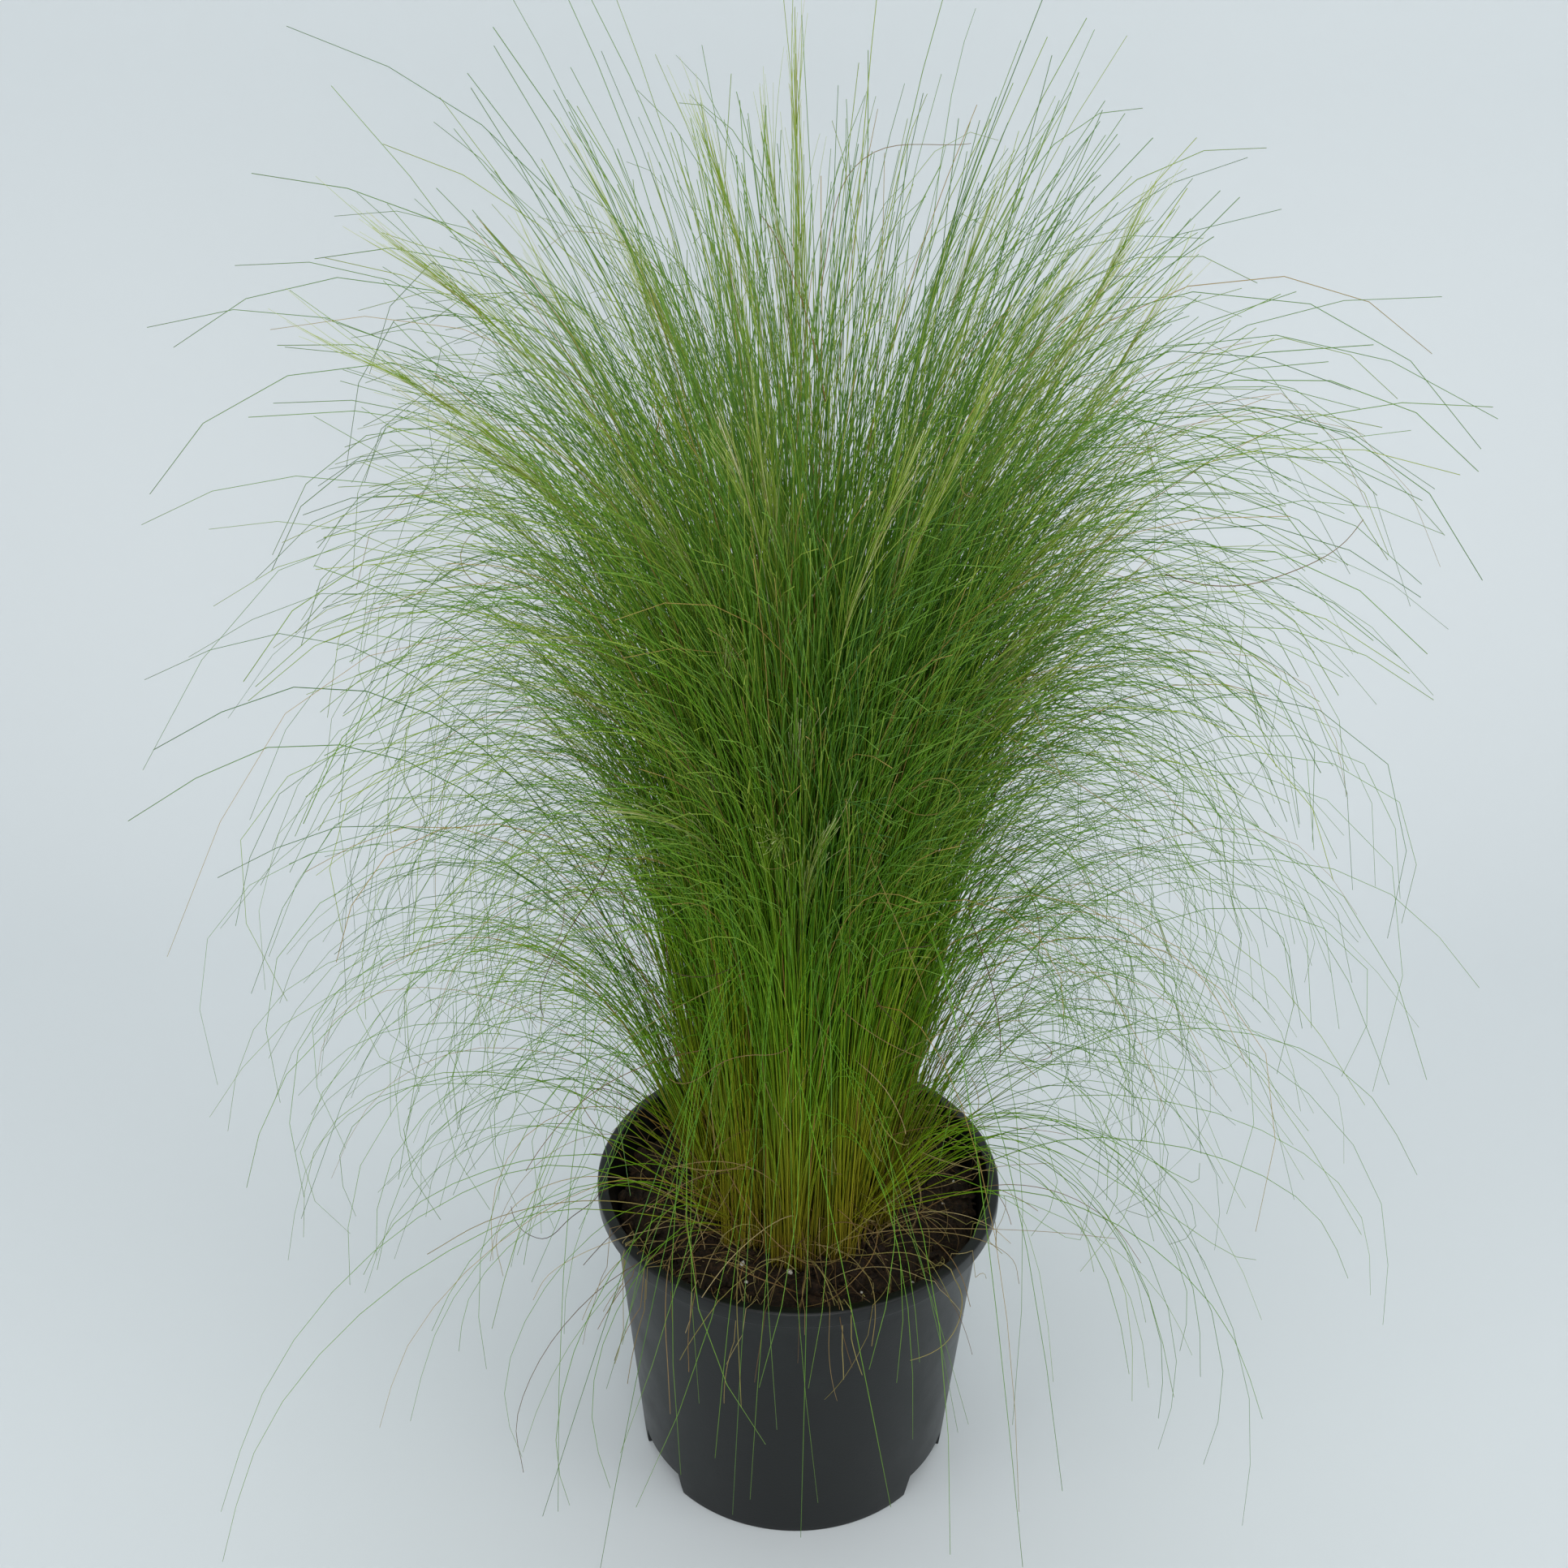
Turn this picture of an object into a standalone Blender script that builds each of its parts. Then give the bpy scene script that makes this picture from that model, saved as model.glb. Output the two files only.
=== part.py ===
"""Mexican feather grass in its nursery pot, in metres, with +Z up and the pot's axis at the origin."""

import math
import random
from collections import namedtuple

import bpy
import bmesh
from mathutils import Vector

MM = 0.001

# Pot
POT_HEIGHT = 157 * MM
RIM_RADIUS = 95 * MM
SHOULDER_RADIUS = 88.4 * MM
BASE_RADIUS = 75.6 * MM
RIM_BAND = 8 * MM
RIM_LIP = 1.6 * MM
WALL = 1.4 * MM
FLOOR_LEVEL = 4 * MM
FLOOR_THICKNESS = 1.6 * MM
POT_SIDES = 48
NOTCH_HEIGHT = 12 * MM
NOTCH_ANGLES = (-30, 90, 210)
NOTCH_WIDTH = math.radians(30)
NOTCH_SLOPE = math.radians(2.5)
NOTCH_COLUMNS = 6
DRAIN_RADIUS = 5 * MM
DRAIN_RING = 45 * MM
DRAIN_SIDES = 12

# Growing medium
SOIL_LEVEL = 140 * MM
SOIL_GAP = 0.4 * MM
SOIL_RINGS = 5
SOIL_SIDES = 24
SOCKET_DEPTH = 16 * MM
SOCKET_GAP = 0.35 * MM
CROWN_SIDES = 6

# Tufts of living leaves, each on a crown whose top is a hexagon of small triangles
LEAF_SPACING = 2.6 * MM
CROWN_CELLS = 3
CROWN_TOP = 12 * MM
CROWN_DOME = 1.5 * MM
TUFT_RINGS = ((1, 0.0), (5, 20 * MM), (10, 38.5 * MM))
LEAVES_PER_TUFT = 20
LEAF_SEGMENTS = 5
LEAF_CROWD = 0.62
LEAF_TRIES = 30
LEAF_ROOT_RADIUS = 0.85 * MM
LEAF_TIP_RADIUS = 0.42 * MM
PATH_STEPS = 60

# Round outline of the whole plant: its radius, where it is widest, and its top
REACH = 292 * MM
WIDEST_LEVEL = 350 * MM
TALLEST = 692 * MM

# Shares of the leaves that stand upright, by where they grow and lean, and of the others that lean low
UPRIGHT = 0.42
INNER_UPRIGHT = 0.8
INNER_SHARE = 0.6
LOW = 0.34
FRONT_UPRIGHT = 0.9
FRONT_SECTOR = math.radians(55)

# Flower heads, each beyond the tip of the middle stem of its tuft
HEAD_TUFTS = (0, 1, 2, 3, 4, 5, 7, 8, 10, 11, 12, 14, 15)
HEAD_LENGTH = 100 * MM
HEAD_SEGMENTS = 8
HEAD_RADII = (1.0 * MM, 0.45 * MM)
HEAD_BEND = 0.45
HEAD_TRIES = 60
HEAD_GAP = 0.35 * MM
AWN_SPREAD = 4 * MM
AWN_LENGTH = 34 * MM
AWN_RADII = (0.55 * MM, 0.42 * MM)

# Bunches of dead leaves round the edge of the clump
DEAD_ANGLES = (-150.5, -114.5, -78.5, -42.5, 29.5, 101.5)
DEAD_RING = 51 * MM
DEAD_LEAVES = 8
DEAD_SPACING = 2.1 * MM
DEAD_CELLS = 2
DEAD_TOP = 5 * MM
DEAD_SEGMENTS = 6
DEAD_ROOT_RADIUS = 0.7 * MM

# Least distance between the middles of two stems, and from a stem to the pot, the soil or another crown
CLEAR = 2.3 * MM
MARGIN = 1.4 * MM
SEED = 7

Crown = namedtuple("Crown", "x y spacing cells top")


def clear_scene():
    for thing in list(bpy.data.objects):
        bpy.data.objects.remove(thing, do_unlink=True)


def make_material(name, colour, roughness):
    material = bpy.data.materials.new(name)
    material.use_nodes = True
    shader = material.node_tree.nodes["Principled BSDF"]
    shader.inputs["Base Color"].default_value = (*colour, 1.0)
    shader.inputs["Roughness"].default_value = roughness
    return material


def add_object(name, bm, material):
    bmesh.ops.recalc_face_normals(bm, faces=bm.faces[:])
    mesh = bpy.data.meshes.new(name)
    bm.to_mesh(mesh)
    bm.free()
    if material:
        mesh.materials.append(material)
    thing = bpy.data.objects.new(name, mesh)
    bpy.context.scene.collection.objects.link(thing)
    return thing


def apply_cut(thing, collection):
    """Cut every solid of the collection away from the object."""
    modifier = thing.modifiers.new("Cut", "BOOLEAN")
    modifier.operation = "DIFFERENCE"
    modifier.solver = "EXACT"
    modifier.operand_type = "COLLECTION"
    modifier.collection = collection
    depsgraph = bpy.context.evaluated_depsgraph_get()
    mesh = bpy.data.meshes.new_from_object(thing.evaluated_get(depsgraph))
    thing.modifiers.clear()
    thing.data = mesh


def finish_mesh(thing):
    """Split every face into triangles after close points are merged."""
    bm = bmesh.new()
    bm.from_mesh(thing.data)
    bmesh.ops.remove_doubles(bm, verts=bm.verts[:], dist=0.00002)
    bmesh.ops.dissolve_degenerate(bm, edges=bm.edges[:], dist=0.00001)
    bmesh.ops.triangulate(bm, faces=bm.faces[:])
    bm.to_mesh(thing.data)
    bm.free()


def ring_of_points(bm, radius, z, sides, x=0.0, y=0.0):
    points = []
    for i in range(sides):
        a = 2 * math.pi * i / sides
        points.append(bm.verts.new((x + radius * math.cos(a), y + radius * math.sin(a), z)))
    return points


def bridge(bm, lower, upper):
    count = len(lower)
    for i in range(count):
        j = (i + 1) % count
        bm.faces.new((lower[i], lower[j], upper[j], upper[i]))


def turned_solid(profile, sides):
    """Turn a closed outline of (radius, height) pairs round the axis."""
    bm = bmesh.new()
    rings = []
    for radius, z in profile:
        if radius < 1e-9:
            rings.append([bm.verts.new((0, 0, z))])
        else:
            rings.append(ring_of_points(bm, radius, z, sides))
    for lower, upper in zip(rings, rings[1:] + rings[:1]):
        if len(lower) == 1 and len(upper) == 1:
            continue
        if len(lower) == 1 or len(upper) == 1:
            tip = lower[0] if len(lower) == 1 else upper[0]
            ring = upper if len(lower) == 1 else lower
            for i in range(sides):
                bm.faces.new((ring[i], ring[(i + 1) % sides], tip))
        else:
            bridge(bm, lower, upper)
    return bm


def wall_radius(z):
    share = z / (POT_HEIGHT - RIM_BAND)
    return BASE_RADIUS + (SHOULDER_RADIUS - BASE_RADIUS) * share


def pot_profile():
    inner_top = RIM_RADIUS - RIM_LIP - 3.6 * MM
    under = POT_HEIGHT - RIM_BAND
    return (
        (0, FLOOR_LEVEL),
        (wall_radius(FLOOR_LEVEL) - 3 * MM, FLOOR_LEVEL),
        (BASE_RADIUS - 2.6 * MM, 0),
        (BASE_RADIUS - 0.6 * MM, 0),
        (BASE_RADIUS, 0.8 * MM),
        (wall_radius(under), under + 0.5 * MM),
        (RIM_RADIUS - RIM_LIP, under + 3.5 * MM),
        (RIM_RADIUS - RIM_LIP, under),
        (RIM_RADIUS - 0.4 * MM, under),
        (RIM_RADIUS, under + 0.6 * MM),
        (RIM_RADIUS, POT_HEIGHT - 1.2 * MM),
        (RIM_RADIUS - 1.0 * MM, POT_HEIGHT),
        (inner_top + 1.0 * MM, POT_HEIGHT),
        (inner_top, POT_HEIGHT - 1.2 * MM),
        (wall_radius(under) - WALL - 0.3 * MM, under - 2 * MM),
        (wall_radius(12 * MM) - WALL, 12 * MM),
        (wall_radius(FLOOR_LEVEL) - WALL - 2 * MM, FLOOR_LEVEL + FLOOR_THICKNESS),
        (0, FLOOR_LEVEL + FLOOR_THICKNESS),
    )


def notch_cutter(angle):
    """A wedge with sloping ends that opens the foot of the wall for drainage."""
    half = NOTCH_WIDTH / 2
    inner = BASE_RADIUS - 10 * MM
    outer = BASE_RADIUS + 14 * MM
    bm = bmesh.new()
    loops = []
    for i in range(NOTCH_COLUMNS + 1):
        share = -1 + 2 * i / NOTCH_COLUMNS
        low = math.radians(angle) + share * half
        high = math.radians(angle) + share * (half - NOTCH_SLOPE)
        loops.append([
            bm.verts.new((inner * math.cos(low), inner * math.sin(low), -2 * MM)),
            bm.verts.new((outer * math.cos(low), outer * math.sin(low), -2 * MM)),
            bm.verts.new((outer * math.cos(high), outer * math.sin(high), NOTCH_HEIGHT)),
            bm.verts.new((inner * math.cos(high), inner * math.sin(high), NOTCH_HEIGHT)),
        ])
    for first, second in zip(loops, loops[1:]):
        bridge(bm, first, second)
    bm.faces.new(loops[0])
    bm.faces.new(loops[-1])
    return add_object("notch_cutter", bm, None)


def upright_cylinder(name, radius, low, high, sides, x, y):
    bm = bmesh.new()
    bottom = ring_of_points(bm, radius, low, sides, x, y)
    top = ring_of_points(bm, radius, high, sides, x, y)
    bridge(bm, bottom, top)
    bm.faces.new(bottom)
    bm.faces.new(top)
    return add_object(name, bm, None)


def drain_cutter(angle):
    x = DRAIN_RING * math.cos(angle)
    y = DRAIN_RING * math.sin(angle)
    return upright_cylinder("drain_cutter", DRAIN_RADIUS, -2 * MM, 10 * MM, DRAIN_SIDES, x, y)


def cut_away(thing, cutters):
    """Gather the cutters, cut them all away at once and remove them."""
    collection = bpy.data.collections.new(thing.name + "_cutters")
    bpy.context.scene.collection.children.link(collection)
    for cutter in cutters:
        cutter.hide_render = True
        cutter.display_type = "WIRE"
        for owner in list(cutter.users_collection):
            owner.objects.unlink(cutter)
        collection.objects.link(cutter)
    apply_cut(thing, collection)
    for cutter in cutters:
        bpy.data.objects.remove(cutter, do_unlink=True)
    bpy.data.collections.remove(collection)


def make_pot(material):
    pot = add_object("pot", turned_solid(pot_profile(), POT_SIDES), material)
    cutters = [notch_cutter(angle) for angle in NOTCH_ANGLES]
    cutters += [drain_cutter(math.radians(angle + 60)) for angle in NOTCH_ANGLES]
    cut_away(pot, cutters)
    finish_mesh(pot)


def soil_height(x, y):
    lumps = 1.5 * math.sin(95 * x + 1.3) * math.cos(80 * y)
    lumps += 1.1 * math.sin(170 * y - 0.6) * math.cos(140 * x + 0.4)
    return SOIL_LEVEL + lumps * MM


def make_soil(material, crowns):
    """Build the filled volume and cut a plain hole for each crown."""
    bm = bmesh.new()
    floor_z = FLOOR_LEVEL + FLOOR_THICKNESS + SOIL_GAP
    low_radius = wall_radius(FLOOR_LEVEL) - WALL - 2 * MM - SOIL_GAP * 3
    mid_radius = wall_radius(14 * MM) - WALL - SOIL_GAP * 2
    top_radius = wall_radius(SOIL_LEVEL - 6 * MM) - WALL - SOIL_GAP * 2
    bottom = ring_of_points(bm, low_radius, floor_z, SOIL_SIDES)
    middle = ring_of_points(bm, mid_radius, 14 * MM, SOIL_SIDES)
    edge = ring_of_points(bm, top_radius, SOIL_LEVEL - 6 * MM, SOIL_SIDES)
    bm.faces.new(bottom)
    bridge(bm, bottom, middle)
    bridge(bm, middle, edge)
    last = edge
    for k in range(SOIL_RINGS):
        radius = (top_radius - 1.5 * MM) * (1 - k / SOIL_RINGS)
        ring = ring_of_points(bm, radius, 0, SOIL_SIDES)
        for point in ring:
            point.co.z = soil_height(point.co.x, point.co.y)
        bridge(bm, last, ring)
        last = ring
    middle_point = bm.verts.new((0, 0, soil_height(0, 0)))
    for i in range(SOIL_SIDES):
        bm.faces.new((last[i], last[(i + 1) % SOIL_SIDES], middle_point))
    soil = add_object("growing_medium", bm, material)
    cutters = []
    for crown in crowns:
        radius = crown.spacing * crown.cells + SOCKET_GAP
        low = SOIL_LEVEL - SOCKET_DEPTH - SOCKET_GAP
        high = SOIL_LEVEL + 20 * MM
        cutters.append(upright_cylinder("socket", radius, low, high, CROWN_SIDES, crown.x, crown.y))
    cut_away(soil, cutters)
    finish_mesh(soil)


def tuft_crowns():
    """Crowns of the living tufts, on rings round the middle one."""
    crowns = []
    for ring, (count, radius) in enumerate(TUFT_RINGS):
        for i in range(count):
            a = 2 * math.pi * (i + 0.5 * ring) / count + 0.2
            x = radius * math.cos(a)
            y = radius * math.sin(a)
            crowns.append(Crown(x, y, LEAF_SPACING, CROWN_CELLS, CROWN_TOP))
    return crowns


def dead_crowns():
    """Crowns of the dead bunches, in gaps along the edge of the outer ring."""
    crowns = []
    for degrees in DEAD_ANGLES:
        x = DEAD_RING * math.cos(math.radians(degrees))
        y = DEAD_RING * math.sin(math.radians(degrees))
        crowns.append(Crown(x, y, DEAD_SPACING, DEAD_CELLS, DEAD_TOP))
    return crowns


def bent_path(root, azimuth, lean, bend, power, length, sway, steps):
    """Points of a stem that starts at a lean and bends over towards its tip."""
    point = Vector(root)
    points = [point.copy()]
    for i in range(steps):
        t = (i + 0.5) / steps
        tilt = lean + bend * t ** power
        turn = azimuth + sway * t
        step = Vector((math.sin(tilt) * math.cos(turn), math.sin(tilt) * math.sin(turn), math.cos(tilt)))
        point += step * (length / steps)
        points.append(point.copy())
    return points


def pick_points(points, segments, crowd):
    """Thin a path to a few points, spaced closer where the stem bends most."""
    last = len(points) - 1
    return [points[round(last * (i / segments) ** crowd)] for i in range(segments + 1)]


def fine_points(points):
    """Fill a path with points closer together than stems may come."""
    fine = []
    for a, b in zip(points, points[1:]):
        count = max(1, int((b - a).length / (0.7 * CLEAR)))
        fine += [a.lerp(b, i / count) for i in range(count)]
    fine.append(points[-1])
    return fine


def outline_share(p):
    """How far out a point lies in the plant's round outline, which is 1 on its edge."""
    height = max(0.0, p.z - WIDEST_LEVEL) / (TALLEST - WIDEST_LEVEL)
    return math.hypot(p.x / REACH, p.y / REACH, height)


def grown_path(root, azimuth, lean, bend, power, length, sway, fill):
    """A stem's path, shortened until it stays within its share of the outline."""
    path = bent_path(root, azimuth, lean, bend, power, length, sway, PATH_STEPS)
    while max(outline_share(p) for p in path) > fill:
        length *= 0.985
        path = bent_path(root, azimuth, lean, bend, power, length, sway, PATH_STEPS)
    return path


class Room:
    """Remember where stems already stand, to keep new ones clear of them."""

    def __init__(self):
        self.cells = {}

    def cell(self, p):
        return (math.floor(p[0] / CLEAR), math.floor(p[1] / CLEAR), math.floor(p[2] / CLEAR))

    def add(self, points):
        for p in points:
            self.cells.setdefault(self.cell(p), []).append((p[0], p[1], p[2]))

    def taken(self, points):
        """Say whether the points come too close to another stem."""
        limit = CLEAR * CLEAR
        for p in points:
            cx, cy, cz = self.cell(p)
            near = [(cx + a, cy + b, cz + c) for a in (-1, 0, 1) for b in (-1, 0, 1) for c in (-1, 0, 1)]
            for key in near:
                for x, y, z in self.cells.get(key, ()):
                    if (x - p[0]) ** 2 + (y - p[1]) ** 2 + (z - p[2]) ** 2 < limit:
                        return True
        return False


def fits(points, own, crowns):
    """Keep a stem clear of the pot, the soil, all crowns but its own, and the outer limits."""
    for p in points:
        r = math.hypot(p.x, p.y)
        if p.z < NOTCH_HEIGHT or outline_share(p) > 1.0:
            return False
        if r < RIM_RADIUS + MARGIN and p.z < POT_HEIGHT + MARGIN:
            if r > 84 * MM or p.z < soil_height(p.x, p.y) + MARGIN:
                return False
        if p.z > SOIL_LEVEL + CROWN_TOP + MARGIN:
            continue
        for crown in crowns:
            radius = crown.spacing * crown.cells
            if crown != own and math.hypot(p.x - crown.x, p.y - crown.y) < radius + MARGIN:
                return False
    return True


def leaf_shape(draw, x, y):
    """Draw one leaf rooted at x and y: upright, arching, or low on the outer tufts."""
    share = min(1.0, math.hypot(x, y) / (TUFT_RINGS[-1][1] + 6 * MM))
    azimuth = math.atan2(y, x) + math.radians(draw.gauss(0, 1) * (50 - 34 * share))
    facing_front = abs(math.remainder(azimuth + math.pi / 2, 2 * math.pi)) < FRONT_SECTOR
    chance = INNER_UPRIGHT if share < INNER_SHARE else UPRIGHT
    if facing_front:
        chance = FRONT_UPRIGHT
    upright = draw.random() < chance
    low = not upright and share > INNER_SHARE and draw.random() < LOW
    if upright:
        lean = draw.uniform(0, 2) + 6 * share * draw.random()
        tip = draw.uniform(8, 48)
        power = draw.uniform(2.5, 4.0)
        length = draw.uniform(0.40, 0.60)
    elif low:
        lean = draw.uniform(20, 46)
        tip = draw.uniform(125, 178)
        power = draw.uniform(1.4, 2.1)
        length = draw.uniform(0.26, 0.46)
    else:
        lean = 2 + 15 * share * draw.random()
        tip = draw.uniform(110, 176)
        power = draw.uniform(1.8, 5.5)
        length = draw.uniform(0.38, 0.78)
    sway = draw.uniform(-0.5, 0.5)
    fill = draw.uniform(0.75 if upright else 0.62, 1.0)
    return azimuth, math.radians(lean), math.radians(tip - lean), power, length, sway, fill


def widest_shape(azimuth):
    """One low leaf that reaches the full width of the plant in a given direction."""
    return azimuth, math.radians(16), math.radians(112), 2.0, 0.70, 0.0, 1.0


def stem_shape(draw, x, y):
    """Draw one flowering stem, straighter and taller than the leaves."""
    share = math.hypot(x, y) / TUFT_RINGS[-1][1]
    lean = math.radians(draw.uniform(0, 3) + 5 * share * draw.random())
    bend = math.radians(draw.uniform(3, 15))
    azimuth = math.atan2(y, x) + draw.uniform(-0.5, 0.5)
    return azimuth, lean, bend, 2.0, draw.uniform(0.36, 0.47), 0.1, 1.0


def dead_leaf_shape(draw, x, y):
    """Draw one dead leaf, short, low and curled."""
    azimuth = math.atan2(y, x) + draw.gauss(0, 0.7)
    lean = math.radians(draw.uniform(12, 50))
    bend = math.radians(draw.uniform(70, 170))
    return azimuth, lean, bend, 1.3, draw.uniform(0.06, 0.21), draw.uniform(-2.0, 2.0), 1.0


def hexagon_cells(spacing, cells):
    """Points and triangles of a hexagon of triangles, with the pointing-up ones first."""
    points = {}
    for i in range(-cells, cells + 1):
        for j in range(max(-cells, -i - cells), min(cells, cells - i) + 1):
            points[i, j] = (spacing * (i + j / 2), spacing * j * math.sqrt(3) / 2)
    up = []
    down = []
    for i, j in points:
        if (i + 1, j) in points and (i, j + 1) in points:
            up.append(((i, j), (i + 1, j), (i, j + 1)))
        if (i + 1, j) in points and (i + 1, j - 1) in points:
            down.append(((i, j), (i + 1, j - 1), (i + 1, j)))
    return points, up, down


def cell_roots(crown):
    """Each pointing-up cell's number and middle, nearest to the crown's middle first."""
    points, up, down = hexagon_cells(crown.spacing, crown.cells)
    roots = []
    for n, corners in enumerate(up):
        cx = sum(points[c][0] for c in corners) / 3
        cy = sum(points[c][1] for c in corners) / 3
        root = Vector((crown.x + cx, crown.y + cy, SOIL_LEVEL + crown.top))
        roots.append((math.hypot(cx, cy), n, root))
    roots.sort(key=lambda found: found[:2])
    return [(n, root) for distance, n, root in roots]


def tube_on_face(bm, corners, points, root_radius, tip_radius):
    """Grow a narrowing three-sided stem from a face that it replaces."""
    loop = corners
    middle = sum((corner.co for corner in corners), Vector()) / 3
    side = corners[0].co - middle
    count = len(points)
    for i in range(1, count):
        ahead = points[min(i + 1, count - 1)] - points[i - 1]
        ahead.normalize()
        side = (side - ahead * side.dot(ahead)).normalized()
        across = ahead.cross(side)
        radius = root_radius + (tip_radius - root_radius) * (i - 1) / (count - 2)
        ring = []
        for k in range(3):
            a = 2 * math.pi * k / 3
            ring.append(bm.verts.new(points[i] + (side * math.cos(a) + across * math.sin(a)) * radius))
        for k in range(3):
            n = (k + 1) % 3
            bm.faces.new((loop[k], loop[n], ring[n]))
            bm.faces.new((loop[k], ring[n], ring[k]))
        loop = ring
    bm.faces.new(loop)


def make_bunch(name, crown, paths, radii, material):
    """Leaf bases bundled in one crown sunk in the soil, with a leaf on each used cell."""
    points, up, down = hexagon_cells(crown.spacing, crown.cells)
    bm = bmesh.new()
    verts = {}
    for key, (px, py) in points.items():
        dome = CROWN_DOME * (1 - (px * px + py * py) / (crown.spacing * crown.cells) ** 2)
        verts[key] = bm.verts.new((crown.x + px, crown.y + py, SOIL_LEVEL + crown.top + dome))
    for n, corners in enumerate(up):
        face = [verts[c] for c in corners]
        if n in paths:
            tube_on_face(bm, face, paths[n], *radii)
        else:
            bm.faces.new(face)
    for corners in down:
        bm.faces.new([verts[c] for c in corners])
    close_below(bm, verts, crown)
    add_object(name, bm, material)


def close_below(bm, verts, crown):
    """Close the crown with six sides and a bottom below the hexagon."""
    cells = crown.cells
    corners = [(cells, 0), (0, cells), (-cells, cells), (-cells, 0), (0, -cells), (cells, -cells)]
    radius = crown.spacing * cells
    foot = ring_of_points(bm, radius, SOIL_LEVEL - SOCKET_DEPTH, CROWN_SIDES, crown.x, crown.y)
    for k in range(CROWN_SIDES):
        n = (k + 1) % CROWN_SIDES
        a = corners[k]
        b = corners[n]
        step = ((b[0] - a[0]) // cells, (b[1] - a[1]) // cells)
        edge = [verts[a[0] + step[0] * m, a[1] + step[1] * m] for m in range(cells + 1)]
        bm.faces.new((foot[k], foot[n], edge[-1]))
        for m in range(cells):
            bm.faces.new((foot[k], edge[m + 1], edge[m]))
    bm.faces.new(foot)


def head_axis(stem):
    """Points of a flower head's axis beyond the tip of its stem."""
    ahead = (stem[-1] - stem[-2]).normalized()
    start = stem[-1] + ahead * HEAD_GAP
    azimuth = math.atan2(ahead.y, ahead.x)
    return bent_path(start, azimuth, math.acos(ahead.z), HEAD_BEND, 1.5, HEAD_LENGTH, 0.0, HEAD_SEGMENTS)


def awn_paths(axis):
    """One awn for each segment but the last, turning round the axis."""
    side, across = axis_sides(axis)
    awns = []
    for i in range(HEAD_SEGMENTS - 1):
        ahead = (axis[i + 1] - axis[i]).normalized()
        a = 2 * math.pi * (i % 3 + 0.5) / 3
        out = side * math.cos(a) + across * math.sin(a)
        base = axis[i] + ahead * 4 * MM
        near = base + out * 0.55 * AWN_SPREAD + ahead * 9 * MM
        far = base + out * AWN_SPREAD + ahead * AWN_LENGTH
        awns.append([base, near, far])
    return awns


def axis_sides(axis):
    """Two directions across the head, the same all along its axis."""
    ahead = (axis[-1] - axis[0]).normalized()
    side = Vector((0, 0, 1)).cross(ahead)
    if side.length < 1e-3:
        side = Vector((1, 0, 0))
    side.normalize()
    return side, ahead.cross(side)


def make_head(name, axis, awns, material):
    """A thin three-sided axis with an awn grown from one face of each segment."""
    bm = bmesh.new()
    side, across = axis_sides(axis)
    rings = []
    for i, point in enumerate(axis):
        radius = HEAD_RADII[0] + (HEAD_RADII[1] - HEAD_RADII[0]) * i / HEAD_SEGMENTS
        ring = []
        for k in range(3):
            a = 2 * math.pi * k / 3
            ring.append(bm.verts.new(point + (side * math.cos(a) + across * math.sin(a)) * radius))
        rings.append(ring)
    for i, (lower, upper) in enumerate(zip(rings, rings[1:])):
        for k in range(3):
            n = (k + 1) % 3
            if k == i % 3 and i < len(awns):
                tube_on_face(bm, [lower[k], lower[n], upper[n]], awns[i], *AWN_RADII)
            else:
                bm.faces.new((lower[k], lower[n], upper[n]))
            bm.faces.new((lower[k], upper[n], upper[k]))
    bm.faces.new(rings[0])
    bm.faces.new(rings[-1])
    add_object(name, bm, material)


def grow_heads(draw, crowns, room):
    """Place each flowering stem with its head, clear of the others."""
    stems = {}
    heads = {}
    for k in HEAD_TUFTS:
        n, root = cell_roots(crowns[k])[0]
        for attempt in range(HEAD_TRIES):
            stem = pick_points(grown_path(root, *stem_shape(draw, root.x, root.y)), LEAF_SEGMENTS, 1.0)
            axis = head_axis(stem)
            awns = awn_paths(axis)
            points = fine_points(stem) + fine_points(axis)
            for awn in awns:
                points += fine_points(awn[1:])
            if fits(points, crowns[k], crowns) and not room.taken(points):
                room.add(points)
                stems[k] = (n, stem)
                heads[k] = (axis, awns)
                break
    return stems, heads


def grow_widest(tufts, room):
    """Place the four leaves that set the plant's width, one for each side."""
    placed = {}
    for quarter in range(4):
        azimuth = quarter * math.pi / 2
        towards = Vector((math.cos(azimuth), math.sin(azimuth), 0))
        k = max(range(len(tufts)), key=lambda i: tufts[i].x * towards.x + tufts[i].y * towards.y)
        n, root = max(cell_roots(tufts[k]), key=lambda cell: cell[1].dot(towards))
        path = pick_points(grown_path(root, *widest_shape(azimuth)), LEAF_SEGMENTS, LEAF_CROWD)
        room.add(fine_points(path))
        placed[k] = (n, path)
    return placed


def grow_bunch(draw, crown, crowns, room, placed, wanted, shape, segments, crowd):
    """Add this many more leaves on the crown's free cells, where they fit."""
    cells = [cell for cell in cell_roots(crown) if cell[0] not in placed]
    draw.shuffle(cells)
    wanted += len(placed)
    for n, root in cells:
        if len(placed) == wanted:
            break
        for attempt in range(LEAF_TRIES):
            path = pick_points(grown_path(root, *shape(draw, root.x, root.y)), segments, crowd)
            points = fine_points(path)
            if fits(points, crown, crowns) and not room.taken(points):
                room.add(points)
                placed[n] = path
                break
    return placed


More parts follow.
